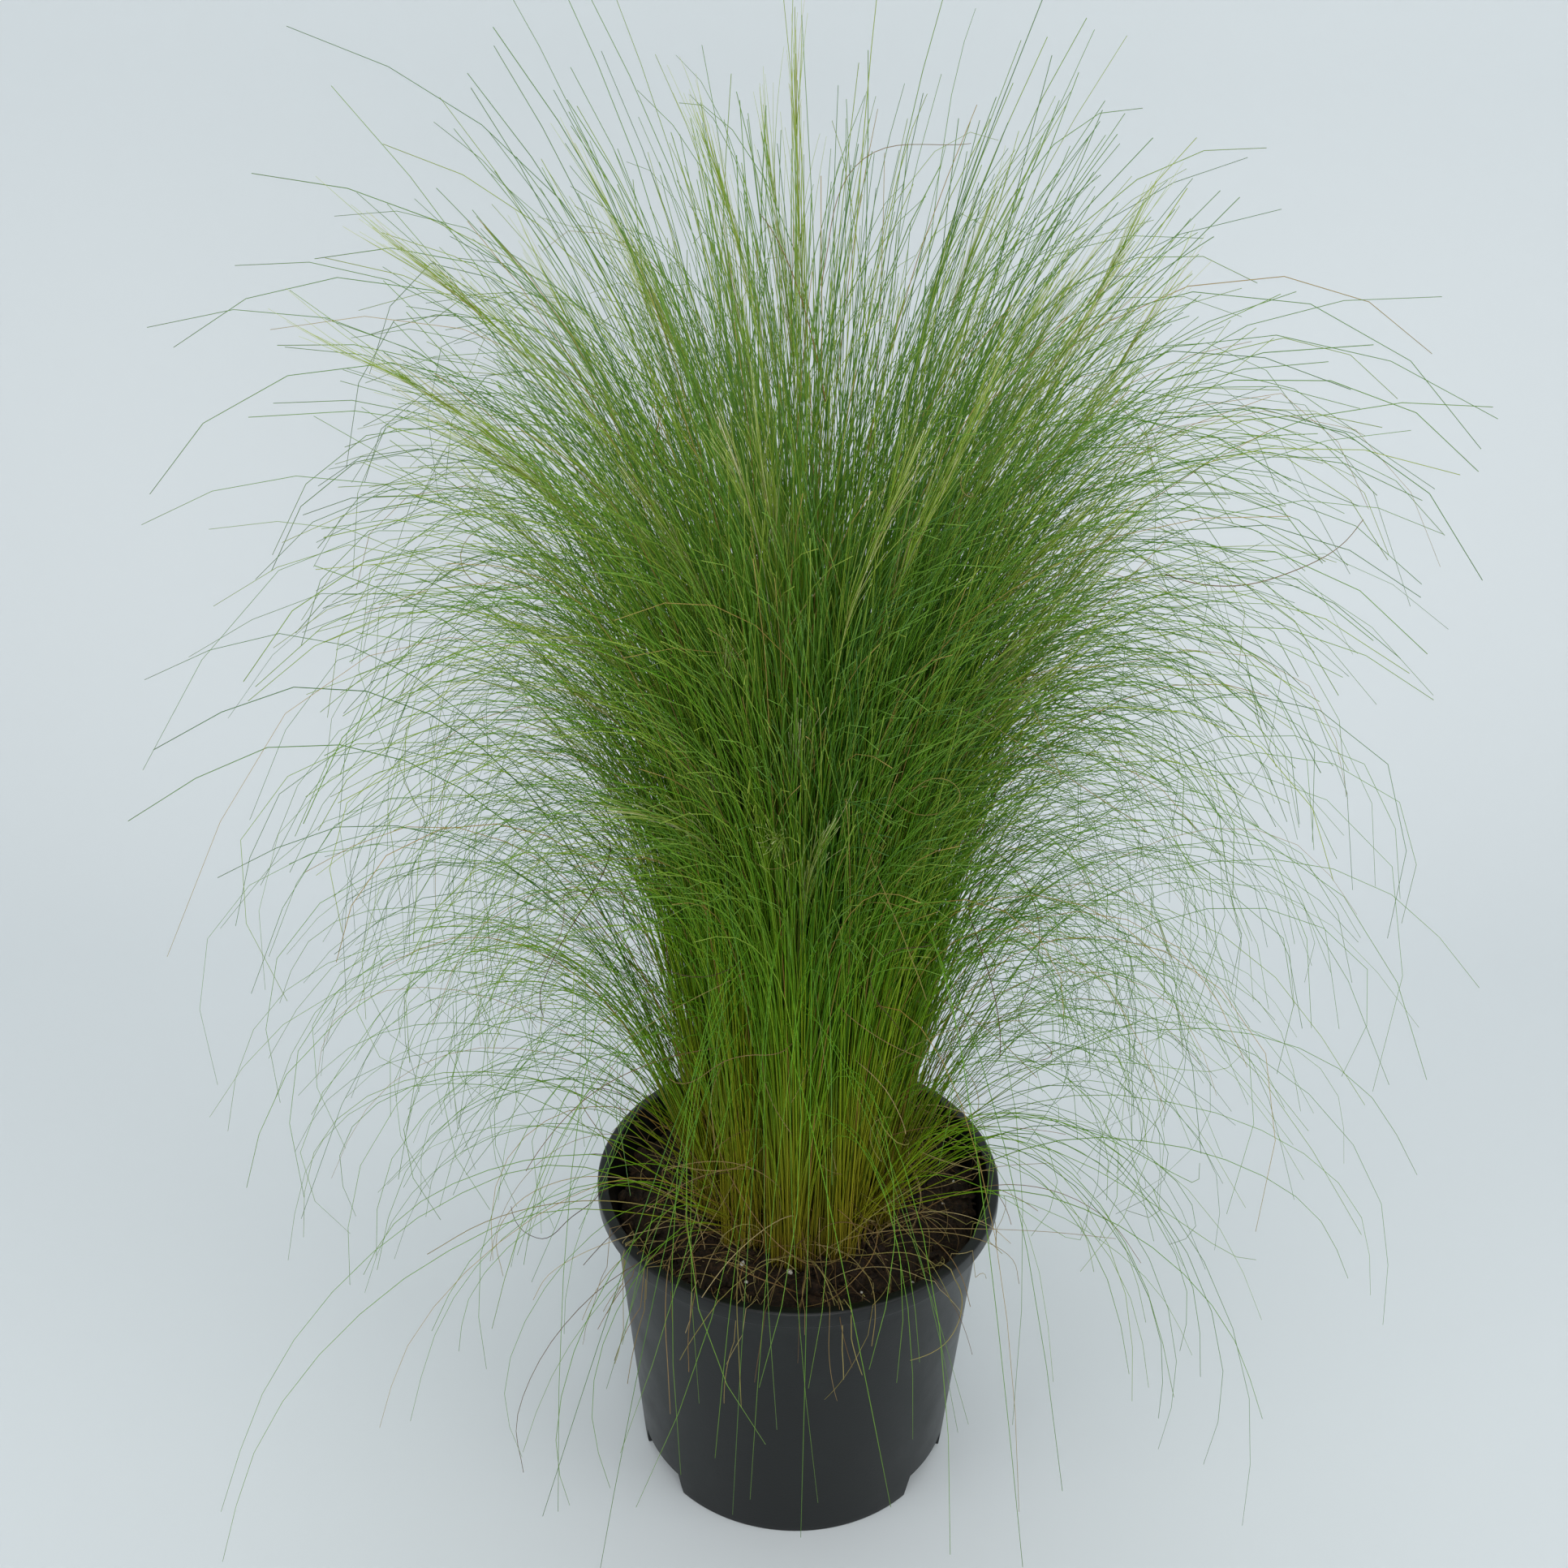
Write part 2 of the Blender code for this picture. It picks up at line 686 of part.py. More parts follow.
def main():
    clear_scene()
    black = make_material("moulded_black_plastic", (0.027, 0.032, 0.037), 0.42)
    peat = make_material("moist_peat", (0.018, 0.011, 0.007), 0.95)
    green = make_material("living_leaf", (0.10, 0.22, 0.03), 0.5)
    pale = make_material("silky_flower_head", (0.42, 0.50, 0.22), 0.6)
    straw = make_material("dry_leaf", (0.36, 0.22, 0.07), 0.7)
    draw = random.Random(SEED)
    room = Room()
    tufts = tuft_crowns()
    bunches = dead_crowns()
    crowns = tufts + bunches
    widest = grow_widest(tufts, room)
    stems, heads = grow_heads(draw, crowns, room)
    for number, crown in enumerate(bunches, 1):
        paths = grow_bunch(draw, crown, crowns, room, {}, DEAD_LEAVES, dead_leaf_shape, DEAD_SEGMENTS, 1.0)
        make_bunch(f"dead_leaves_{number:02d}", crown, paths, (DEAD_ROOT_RADIUS, LEAF_TIP_RADIUS), straw)
    for k, crown in enumerate(tufts):
        placed = dict(found[k] for found in (widest, stems) if k in found)
        wanted = LEAVES_PER_TUFT
        paths = grow_bunch(draw, crown, crowns, room, placed, wanted, leaf_shape, LEAF_SEGMENTS, LEAF_CROWD)
        make_bunch(f"tuft_{k + 1:02d}", crown, paths, (LEAF_ROOT_RADIUS, LEAF_TIP_RADIUS), green)
    for number, k in enumerate(sorted(heads), 1):
        make_head(f"panicle_{number:02d}", *heads[k], pale)
    make_pot(black)
    make_soil(peat, crowns)


main()
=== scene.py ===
# %% [markdown]
# # Mexican feather grass in its nursery pot
#
# A clump of hair-fine grass leaves arches out of a dark plastic pot of peat.
# The solids of the part hold the form: a pot, the peat, a few hundred thick stems and the flower heads.
# This script dresses them. Each thick stem becomes the guide for a lock of fine leaves.
#
# Everything is in metres, with +Z up and the pot's axis at the origin. The front of the plant faces -Y.

# %% The frame
import math
from collections import namedtuple

import bmesh
import bpy
import numpy as np
from mathutils import Matrix, Vector, noise


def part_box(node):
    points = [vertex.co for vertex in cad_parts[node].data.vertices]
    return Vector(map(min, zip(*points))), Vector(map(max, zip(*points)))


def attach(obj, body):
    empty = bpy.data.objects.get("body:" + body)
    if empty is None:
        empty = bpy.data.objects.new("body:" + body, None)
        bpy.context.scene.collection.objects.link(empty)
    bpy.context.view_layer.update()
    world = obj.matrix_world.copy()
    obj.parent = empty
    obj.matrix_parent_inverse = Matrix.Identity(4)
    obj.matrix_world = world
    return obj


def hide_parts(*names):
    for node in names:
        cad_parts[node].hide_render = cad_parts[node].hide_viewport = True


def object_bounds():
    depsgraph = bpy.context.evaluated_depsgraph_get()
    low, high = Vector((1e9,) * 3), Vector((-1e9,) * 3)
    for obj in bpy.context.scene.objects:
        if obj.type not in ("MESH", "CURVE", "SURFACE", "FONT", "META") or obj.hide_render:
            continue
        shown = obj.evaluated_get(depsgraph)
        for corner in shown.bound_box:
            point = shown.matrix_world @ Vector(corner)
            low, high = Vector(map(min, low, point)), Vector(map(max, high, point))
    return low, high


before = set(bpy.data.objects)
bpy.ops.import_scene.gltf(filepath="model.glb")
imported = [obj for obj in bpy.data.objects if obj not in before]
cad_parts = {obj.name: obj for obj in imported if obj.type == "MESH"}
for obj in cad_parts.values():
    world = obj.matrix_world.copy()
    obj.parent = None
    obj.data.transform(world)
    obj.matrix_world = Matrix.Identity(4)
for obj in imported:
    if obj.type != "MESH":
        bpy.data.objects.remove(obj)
cad_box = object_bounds()
MM = 0.001
print("CAD box in mm:", [[round(c / MM) for c in corner] for corner in cad_box])

# %% [markdown]
# ## Sizes that the pieces share
#
# The pot's height and rim radius are read from the pot's box in the frame, so that the fine pieces sit where
# the solids are.
# The other sizes, such as the width of the rim band and the level of the peat, are real sizes in millimetres.

# %% Sizes of the pot and the peat
POT_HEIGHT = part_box("pot")[1].z
RIM_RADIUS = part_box("pot")[1].x
RIM_BAND = 8 * MM
SHOULDER_RADIUS = 88.4 * MM
BASE_RADIUS = 75.6 * MM
WALL = 1.4 * MM
NOTCH_HEIGHT = 12 * MM
NOTCH_ANGLES = (-30, 90, 210)
NOTCH_WIDTH_DEGREES = 30
SOIL_LEVEL = 140 * MM
CLUMP_RADIUS = 46 * MM
print("pot", round(POT_HEIGHT / MM), "mm high and", round(2 * RIM_RADIUS / MM), "mm across its rim")


def wall_radius(z):
    """Outer radius of the tapered wall at a height."""
    share = z / (POT_HEIGHT - RIM_BAND)
    return BASE_RADIUS + (SHOULDER_RADIUS - BASE_RADIUS) * share


def soil_height(x, y):
    """Height of the peat's slow swells, as in the solid."""
    lumps = 1.5 * np.sin(95 * x + 1.3) * np.cos(80 * y)
    lumps = lumps + 1.1 * np.sin(170 * y - 0.6) * np.cos(140 * x + 0.4)
    return SOIL_LEVEL + lumps * MM


# %% [markdown]
# ## Helpers for materials
#
# A colour is easy to read as a hex value in sRGB, but a shader works in linear light, so one function
# turns it. One small function adds a node with its settings and its links. A link is given as another
# node's output socket. An input is given by its name, or by its number, such as _0, where names repeat.

# %% Colours and nodes
def linear(hex_colour):
    """Turn an sRGB hex colour such as #336699 to linear red, green, blue and a full alpha."""
    parts = [int(hex_colour[i:i + 2], 16) / 255 for i in (1, 3, 5)]
    return (*[c / 12.92 if c <= 0.04045 else ((c + 0.055) / 1.055) ** 2.4 for c in parts], 1.0)


def add_node(material, kind, settings=None, **inputs):
    """Add a node, set its settings, and set or link its inputs by name."""
    node = material.node_tree.nodes.new("ShaderNode" + kind)
    for key, value in (settings or {}).items():
        setattr(node, key, value)
    for key, value in inputs.items():
        socket = node.inputs[int(key[1:])] if key[0] == "_" else node.inputs[key.replace("_", " ")]
        if isinstance(value, bpy.types.NodeSocket):
            material.node_tree.links.new(value, socket)
        else:
            socket.default_value = value
    return node


def new_material(name, **shader_values):
    """A material with its Principled shader, whose constant values sit on its own sockets."""
    material = bpy.data.materials.new(name)
    material.use_nodes = True
    shader = material.node_tree.nodes["Principled BSDF"]
    for key, value in shader_values.items():
        shader.inputs[key.replace("_", " ")].default_value = value
    return material, shader


def colour_ramp(material, factor, stops):
    """A ramp through (position, hex colour) stops."""
    node = add_node(material, "ValToRGB", Fac=factor)
    elements = node.color_ramp.elements
    elements[0].position, elements[0].color = stops[0][0], linear(stops[0][1])
    elements[1].position, elements[1].color = stops[-1][0], linear(stops[-1][1])
    for position, colour in stops[1:-1]:
        elements.new(position).color = linear(colour)
    return node.outputs["Color"]


def link(material, output, socket):
    """Join an output to an input that is already there."""
    material.node_tree.links.new(output, socket)


def mixed(material, share, first, second):
    """A colour that goes from the first to the second as the share goes from 0 to 1."""
    return add_node(material, "Mix", {"data_type": "RGBA"}, _0=share, _6=first, _7=second).outputs[2]


def number_on_mesh(material, name):
    """One of the numbers that the mesh keeps at each of its points."""
    return add_node(material, "Attribute", {"attribute_name": name}).outputs["Fac"]


def part_of_range(material, value, start, end):
    """A share that is 0 at the start of a range and 1 at its end."""
    return add_node(material, "MapRange", Value=value, From_Min=start, From_Max=end).outputs[0]


def noise_texture(material, place, size, detail, **more):
    """Smooth noise whose spots are about one size, in metres."""
    return add_node(material, "TexNoise", Vector=place, Scale=1 / size, Detail=detail, **more).outputs["Fac"]


print("mid grey in linear light:", round(linear("#808080")[0], 3))


# %% [markdown]
# ## The finish of a living leaf
#
# A feather grass leaf is rolled into a thread, waxy, and under a millimetre wide.
# Its base is pale yellow-green where it stood in the shade of the clump, its middle is a strong green,
# and its thin end is paler and greyer. Each leaf also differs a little from the next one.
# A few leaves have withered to straw while they still stand among the green ones.
# Two numbers are kept at each point of the mesh: "along", which is 0 at the root and 1 at the tip,
# and "tone", which is one random number for each leaf. The colour is worked out from these: a low tone is
# a deep green, a high one is yellow-green, and the highest ones are kept for the withered leaves.

# %% Living leaf
WITHERED_FROM = (0.925, 0.935)
WITHERED_TONE = 0.98


def waxy_leaf():
    material, shader = new_material("waxy_rolled_leaf", Roughness=0.46, IOR=1.42, Specular_IOR_Level=0.2)
    along = number_on_mesh(material, "along")
    tone = number_on_mesh(material, "tone")
    fresh = colour_ramp(material, along, [
        (0.0, "#98842E"), (0.2, "#868820"), (0.42, "#66920F"), (0.72, "#629620"), (1.0, "#6E963C")])
    yellow = colour_ramp(material, along, [
        (0.0, "#A68E3C"), (0.2, "#96961E"), (0.5, "#8CAC20"), (1.0, "#9AAE48")])
    deep = colour_ramp(material, along, [
        (0.0, "#6C6420"), (0.2, "#5E6E18"), (0.42, "#3C6C0C"), (0.72, "#3C701C"), (1.0, "#4A7440")])
    dried = colour_ramp(material, along, [(0.0, "#8A6A30"), (0.5, "#A08440"), (1.0, "#A89454")])
    lighter = part_of_range(material, tone, 0.5, 0.8)
    darker = part_of_range(material, tone, 0.38, 0.0)
    withered = part_of_range(material, tone, *WITHERED_FROM)
    green = mixed(material, darker, mixed(material, lighter, fresh, yellow), deep)
    link(material, mixed(material, withered, green, dried), shader.inputs["Base Color"])
    return material


LEAF = waxy_leaf()
print("made", LEAF.name)

# %% [markdown]
# ## The finish of a dead leaf and of a flower head
#
# A dead leaf dries to straw, tan or a reddish brown, and loses its wax, so it is rougher.
# A flower head is a plume of awns, each a silky hair. It is pale green when young, and some awns ripen
# to tan.

# %% Dry leaf and silky plume
def dry_leaf():
    material, shader = new_material("dry_leaf", Roughness=0.72, IOR=1.45)
    colour = colour_ramp(material, number_on_mesh(material, "tone"), [
        (0.0, "#4A3820"), (0.2, "#7E6234"), (0.45, "#8E7848"), (0.7, "#84803A"), (1.0, "#B09C6C")])
    link(material, colour, shader.inputs["Base Color"])
    return material


def silky_plume():
    material, shader = new_material("silky_plume", Roughness=0.42, IOR=1.5, Specular_IOR_Level=0.3)
    along = number_on_mesh(material, "along")
    green = colour_ramp(material, along, [
        (0.0, "#7CA024"), (0.4, "#98B43A"), (0.75, "#AABE5C"), (1.0, "#C2CE8C")])
    tan = colour_ramp(material, along, [(0.0, "#9A8A4E"), (0.4, "#B5A678"), (1.0, "#CFC8A8")])
    ripe = part_of_range(material, number_on_mesh(material, "tone"), 0.72, 1.0)
    link(material, mixed(material, ripe, green, tan), shader.inputs["Base Color"])
    return material


DRY = dry_leaf()
PLUME = silky_plume()
print("made", DRY.name, "and", PLUME.name)

# %% [markdown]
# ## The finish of the pot
#
# A grower's pot is injection-moulded polypropylene, coloured almost black with soot and recycled stock.
# The mould gives it a satin skin with faint upright flow marks, and handling adds dull patches of dust.
# A noise stretched along Z makes the flow marks, and a finer one makes the skin's grain of about 0.4 mm.

# %% Moulded polypropylene
def moulded_polypropylene():
    material, shader = new_material("moulded_polypropylene", IOR=1.49, Specular_IOR_Level=0.35)
    place = add_node(material, "TexCoord").outputs["Object"]
    stretched = add_node(material, "Mapping", Vector=place, Scale=(1 / (6 * MM), 1 / (6 * MM), 1 / (60 * MM)))
    flow = noise_texture(material, stretched.outputs[0], 1.0, 3.0)
    patches = noise_texture(material, place, 35 * MM, 5.0, Roughness=0.6)
    grain = noise_texture(material, place, 0.9 * MM, 2.0)
    colour = colour_ramp(material, patches, [(0.3, "#0A0C0C"), (0.55, "#0E1111"), (0.8, "#191D1C")])
    link(material, colour, shader.inputs["Base Color"])
    rough = add_node(material, "MapRange", Value=patches, From_Min=0.3, From_Max=0.75,
                     To_Min=0.30, To_Max=0.48)
    link(material, rough.outputs[0], shader.inputs["Roughness"])
    height = add_node(material, "Math", {"operation": "MULTIPLY_ADD"}, _0=flow, _1=0.6, _2=grain)
    bump = add_node(material, "Bump", Height=height.outputs[0], Strength=0.12, Distance=0.3 * MM)
    link(material, bump.outputs[0], shader.inputs["Normal"])
    return material


PLASTIC = moulded_polypropylene()
print("made", PLASTIC.name)

# %% [markdown]
# ## The finish of the peat and of its white grains
#
# Potting peat is moist and fibrous. Its crumbs differ in colour from nearly black to dark brown.
# Growers mix in perlite, a white volcanic glass puffed up like popcorn, which shows as a few white specks.

# %% Peat and perlite
def moist_peat():
    material, shader = new_material("moist_peat", Roughness=0.88, IOR=1.4)
    place = add_node(material, "TexCoord").outputs["Object"]
    crumbs = add_node(material, "TexVoronoi", Vector=place, Scale=1 / (3 * MM))
    fibre = noise_texture(material, place, 1.2 * MM, 6.0, Roughness=0.7)
    both = add_node(material, "Math", {"operation": "MULTIPLY_ADD"}, _0=crumbs.outputs["Distance"], _1=0.4,
                    _2=fibre)
    colour = colour_ramp(material, both.outputs[0], [
        (0.35, "#0B0804"), (0.55, "#1B130C"), (0.75, "#2E2115"), (0.95, "#483422")])
    link(material, colour, shader.inputs["Base Color"])
    bump = add_node(material, "Bump", Height=both.outputs[0], Strength=0.7, Distance=1.2 * MM)
    link(material, bump.outputs[0], shader.inputs["Normal"])
    return material


def puffed_perlite():
    material, shader = new_material("puffed_perlite", Roughness=0.8, IOR=1.5)
    place = add_node(material, "TexCoord").outputs["Object"]
    dirt = noise_texture(material, place, 1.5 * MM, 3.0)
    colour = colour_ramp(material, dirt, [(0.3, "#8F887A"), (0.5, "#D9D5CB"), (0.8, "#EFEDE6")])
    link(material, colour, shader.inputs["Base Color"])
    return material


PEAT = moist_peat()
PERLITE = puffed_perlite()
print("made", PEAT.name, "and", PERLITE.name)


# %% [markdown]
# ## Reading the guides from the frame
#
# Each stem of a tuft's solid is a three-sided tube. Its tip is a small triangle, and one step back
# along the tube there are always exactly three new points, until the tube meets the crown.
# So the middle line of each stem can be walked from its tip to its root, and no list of points is copied.

# %% Middle lines of the solid stems
SAME_POINT = 0.02 * MM
FEWEST_STEPS = 3


def points_and_neighbours(node):
    """A node's points, merged where triangles meet, their neighbours and the triangles."""
    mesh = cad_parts[node].data
    coordinates = np.zeros(len(mesh.vertices) * 3)
    mesh.vertices.foreach_get("co", coordinates)
    coordinates = coordinates.reshape(-1, 3)
    keys, places = {}, []
    for co in coordinates:
        key = tuple(int(round(c / SAME_POINT)) for c in co)
        places.append(keys.setdefault(key, len(keys)))
    points = np.zeros((len(keys), 3))
    points[places] = coordinates
    neighbours = [set() for _ in points]
    triangles = []
    for polygon in mesh.polygons:
        corners = [places[v] for v in polygon.vertices]
        triangles.append(corners)
        for a in corners:
            neighbours[a].update(c for c in corners if c != a)
    return points, neighbours, triangles


def stem_lines(node):
    """The middle line of each tube of the node, from root to tip."""
    points, neighbours, triangles = points_and_neighbours(node)
    lines = []
    for corners in triangles:
        ring, seen, line = set(corners), set(corners), [points[corners].mean(0)]
        while True:
            found = set().union(*(neighbours[c] for c in ring)) - seen
            if len(found) != 3:
                break
            ring = found
            seen |= found
            line.append(points[list(found)].mean(0))
        if len(line) > FEWEST_STEPS:
            lines.append(np.array(line[::-1]))
    return lines


kinds = ("tuft", "panicle", "dead_leaves")
TUFTS, HEADS, BUNCHES = [sorted(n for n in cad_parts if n.startswith(kind)) for kind in kinds]
guides = {node: stem_lines(node) for node in TUFTS}
print(sum(len(lines) for lines in guides.values()), "guide stems in", len(TUFTS), "tufts")


# %% [markdown]
# ## From guides to smooth lines
#
# A solid stem has only a few straight stretches. A smooth line through the same points is what grew.
# A Catmull-Rom curve passes through each of its points, so the fine leaves keep the form of the solids.

# %% Smooth lines
POINTS_IN_A_STRETCH = 12


def smooth_line(points, count):
    """A Catmull-Rom curve through the points, as count points evenly spaced in length."""
    padded = np.vstack([2 * points[0] - points[1], points, 2 * points[-1] - points[-2]])
    fine = []
    for i in range(1, len(padded) - 2):
        p0, p1, p2, p3 = padded[i - 1:i + 3]
        t = np.linspace(0, 1, POINTS_IN_A_STRETCH, endpoint=False)[:, None]
        fine.append(0.5 * (2 * p1 + (p2 - p0) * t + (2 * p0 - 5 * p1 + 4 * p2 - p3) * t ** 2
                           + (3 * p1 - p0 - 3 * p2 + p3) * t ** 3))
    fine = np.vstack(fine + [points[-1:]])
    return even_points(fine, count)


def even_points(line, count):
    """The same line as count points, evenly spaced in length."""
    steps = np.linalg.norm(np.diff(line, axis=0), axis=1)
    reached = np.concatenate([[0], np.cumsum(steps)])
    wanted = np.linspace(0, reached[-1], count)
    return np.stack([np.interp(wanted, reached, line[:, k]) for k in range(3)], axis=1)


sample = smooth_line(guides[TUFTS[0]][0], 16)
print("the first guide as a smooth line has", len(sample), "points")

# %% [markdown]
# ## One mesh of many threads
#
# Thousands of leaves would be slow as separate objects, so one mesh holds all the threads of a tuft.
# Each thread is a thin tube of three sides. NumPy works out every ring of every thread at once:
# a side direction is carried along each thread, and three points are set round each of its points.

# %% Threads
def thread_mesh(name, lines, root_radius, tip_radius, tones, material, replaced=()):
    """Make one piece of tubes from lines, an array of threads by points by three."""
    lines = np.asarray(lines)
    count, steps = lines.shape[:2]
    ahead = np.gradient(lines, axis=1)
    ahead /= np.linalg.norm(ahead, axis=2, keepdims=True) + 1e-12
    side = np.cross(ahead[:, 0], [0.31, 0.52, 0.8])
    share = np.linspace(0, 1, steps)
    root_radius, tip_radius = np.asarray(root_radius)[..., None], np.asarray(tip_radius)[..., None]
    radii = np.broadcast_to(root_radius + (tip_radius - root_radius) * share, (count, steps))
    rings = np.zeros((count, steps, 3, 3))
    for s in range(steps):
        side = side - ahead[:, s] * np.sum(side * ahead[:, s], axis=1, keepdims=True)
        side /= np.linalg.norm(side, axis=1, keepdims=True) + 1e-12
        across = np.cross(ahead[:, s], side)
        for k in range(3):
            a = 2 * math.pi * k / 3
            rings[:, s, k] = lines[:, s] + (side * math.cos(a) + across * math.sin(a)) * radii[:, s, None]
    first = (np.arange(count) * steps * 3)[:, None, None]
    ring = (np.arange(steps - 1) * 3)[None, :, None]
    k = np.arange(3)[None, None, :]
    n = (k + 1) % 3
    low, low_next = first + ring + k, first + ring + n
    quads = np.stack([low, low_next, low_next + 3, low + 3], axis=-1).reshape(-1, 4)
    root = (np.arange(count) * steps * 3)[:, None]
    ends = np.vstack([root + np.array([[0, 2, 1]]), root + (steps - 1) * 3 + np.array([[0, 1, 2]])])
    piece = add_mesh(name, rings.reshape(-1, 3), quads, ends, material)
    add_numbers(piece, "along", np.repeat(np.broadcast_to(share, (count, steps)).reshape(-1), 3))
    add_numbers(piece, "tone", np.repeat(tones, steps * 3))
    return dress(piece, replaced)


def add_mesh(name, points, quads, triangles, material):
    """A mesh object from arrays of points, four-sided faces and three-sided faces."""
    mesh = bpy.data.meshes.new(name)
    mesh.vertices.add(len(points))
    mesh.vertices.foreach_set("co", np.asarray(points, np.float32).ravel())
    corners = np.concatenate([quads.ravel(), triangles.ravel()])
    mesh.loops.add(len(corners))
    mesh.loops.foreach_set("vertex_index", corners.astype(np.int32))
    starts = np.concatenate([np.arange(len(quads)) * 4, len(quads) * 4 + np.arange(len(triangles)) * 3])
    mesh.polygons.add(len(starts))
    mesh.polygons.foreach_set("loop_start", starts.astype(np.int32))
    mesh.update(calc_edges=True)
    mesh.validate()
    mesh.shade_smooth()
    mesh.materials.append(material)
    return add_object(name, mesh)


def add_object(name, data):
    """Put an object that shows this mesh, lamp or camera into the scene."""
    piece = bpy.data.objects.new(name, data)
    bpy.context.scene.collection.objects.link(piece)
    return piece


def mesh_from(bm, name):
    """Turn a mesh under construction into one that an object can show."""
    mesh = bpy.data.meshes.new(name)
    bm.to_mesh(mesh)
    bm.free()
    return mesh


def add_numbers(piece, name, values):
    """Keep one number for each point of the mesh, for the material to read."""
    attribute = piece.data.attributes.new(name, "FLOAT", "POINT")
    attribute.data.foreach_set("value", np.asarray(values, np.float32))


def dress(piece, replaced=()):
    """Hang the piece on the root body and hide the solids that it stands for."""
    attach(piece, "root")
    if replaced:
        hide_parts(*replaced)
    return piece


# %% [markdown]
# ## Keeping clear of the pot
#
# A leaf bends over the rim, and never through it. A green leaf that would touch the pot isn't used.
# A dead leaf is laid on the pot instead: in the mouth it is kept above the peat, over the rim it is lifted
# onto it, and once it has gone over the rim it hangs outside.

# %% Room round the pot
LEAF_GAP = 0.6 * MM
LOWEST_LEAF = 2 * MM
MOUTH_RADIUS = SHOULDER_RADIUS - 3 * MM


def hits_pot(lines):
    """Say for each line whether any of its points is in the wall, the rim or the peat."""
    radius = np.hypot(lines[..., 0], lines[..., 1])
    z = lines[..., 2]
    wall = np.where(z > POT_HEIGHT - RIM_BAND, RIM_RADIUS, wall_radius(z))
    in_wall = (radius > MOUTH_RADIUS) & (radius < wall + LEAF_GAP) & (z < POT_HEIGHT + LEAF_GAP)
    soil = soil_height(lines[..., 0], lines[..., 1])
    under = (radius <= MOUTH_RADIUS) & (radius > CLUMP_RADIUS) & (z < soil)
    return (in_wall | under | (z < LOWEST_LEAF)).any(axis=-1)


def rest_on_pot(lines):
    """Move the points of limp leaves so that they lie on the peat, go over the rim and hang outside it."""
    x, y, z = lines[..., 0], lines[..., 1], lines[..., 2]
    radius = np.hypot(x, y) + 1e-9
    edge = RIM_RADIUS + LEAF_GAP
    gone_over = np.maximum.accumulate(radius > edge, axis=-1)
    inside = ~gone_over & (radius < SHOULDER_RADIUS - 2 * MM)
    z = np.where(inside, np.maximum(z, soil_height(x, y) + LEAF_GAP), z)
    z = np.where(~gone_over & ~inside, np.maximum(z, POT_HEIGHT + LEAF_GAP), z)
    push = gone_over & (z <= POT_HEIGHT + LEAF_GAP) & (radius < edge)
    factor = np.where(push, edge / radius, 1.0)
    return np.stack([x * factor, y * factor, np.maximum(z, LOWEST_LEAF)], axis=-1)


print("leaves keep", round(LEAF_GAP / MM, 1), "mm off the pot")

# %% [markdown]
# ## The locks of fine leaves
#
# Each guide is copied many times with a small random turn, stretch, bend and root of its own.
# The turn grows with the distance from the root, so the leaves of a lock stand close together in the clump
# and fan out above it, as they do on the real plant. The copies of an arching guide are fewer and spread
# wider, for on the plant the arching leaves part from each other and show one by one. They are also thinner
# and darker. The copies of an upright guide stand close together as a wisp that shares most of its tone and
# its bend. There are more of them the steeper the guide stands, since the clump is densest in its middle.

# %% Numbers and sizes of the fine leaves
LEANS = (0.1, 0.45)
LEAVES_PER_LEAN = (36, 11)
LEAVES_PER_ARCH = 8
LEAVES_LOW_DOWN = 4
LOW_TOP = SOIL_LEVEL + 105 * MM
ARCH_DROP = 8 * MM
WITHERED_SHARE = 0.035
LEAF_POINTS = 16
LEAF_ROOT_RADIUS = 0.42 * MM
LEAF_TIP_RADIUS = 0.15 * MM


def arches(guide):
    """Say whether a guide comes down again towards its tip."""
    return guide[-1][2] < guide[:, 2].max() - ARCH_DROP


def hangs(guide):
    """Say whether a guide ends below the rim."""
    return guide[-1][2] < POT_HEIGHT


def leaves_round(guide):
    """How many fine leaves follow a guide: most where it stands steep, fewest where it stays low."""
    if hangs(guide) or guide[:, 2].max() < LOW_TOP:
        return LEAVES_LOW_DOWN
    if arches(guide):
        return LEAVES_PER_ARCH
    rise = guide[-1] - guide[0]
    lean = math.atan2(math.hypot(rise[0], rise[1]), rise[2])
    return round(np.interp(lean, LEANS, LEAVES_PER_LEAN))


print(sum(leaves_round(guide) for lines in guides.values() for guide in lines), "fine leaves to grow")

# %% [markdown]
# ## How a leaf bends
#
# A leaf nods: from two fifths of its length on, it bends outward more and more.
# About a third of the upright leaves are limp above and bow right over, which gives the long thin arcs
# round the top of the plant. At the front no upright leaf is limp, as in the photograph.

# %% Turning and bending lines
LIMP_SHARE = 0.36
LIMP_BEND = (50, 140)
LIMP_STRETCH = 1.12
NOT_LIMP_BEYOND = -0.5
NOD_START = 0.4
UP = np.array([0.0, 0.0, 1.0])


def unit(vectors):
    """The same directions, each with length one."""
    return vectors / np.linalg.norm(vectors, axis=1, keepdims=True)


def turned(vectors, axis, angle):
    """Turn each row's vectors about that row's axis, by one angle for the row or one for each vector."""
    axis = axis[:, None, :]
    angle = np.reshape(angle, (len(vectors), -1, 1))
    cos, sin = np.cos(angle), np.sin(angle)
    along = np.sum(vectors * axis, axis=-1, keepdims=True) * axis
    return vectors * cos + np.cross(axis, vectors) * sin + along * (1 - cos)


def random_axes(draw, count):
    """Directions that point every way with the same chance."""
    return unit(draw.normal(size=(count, 3)))


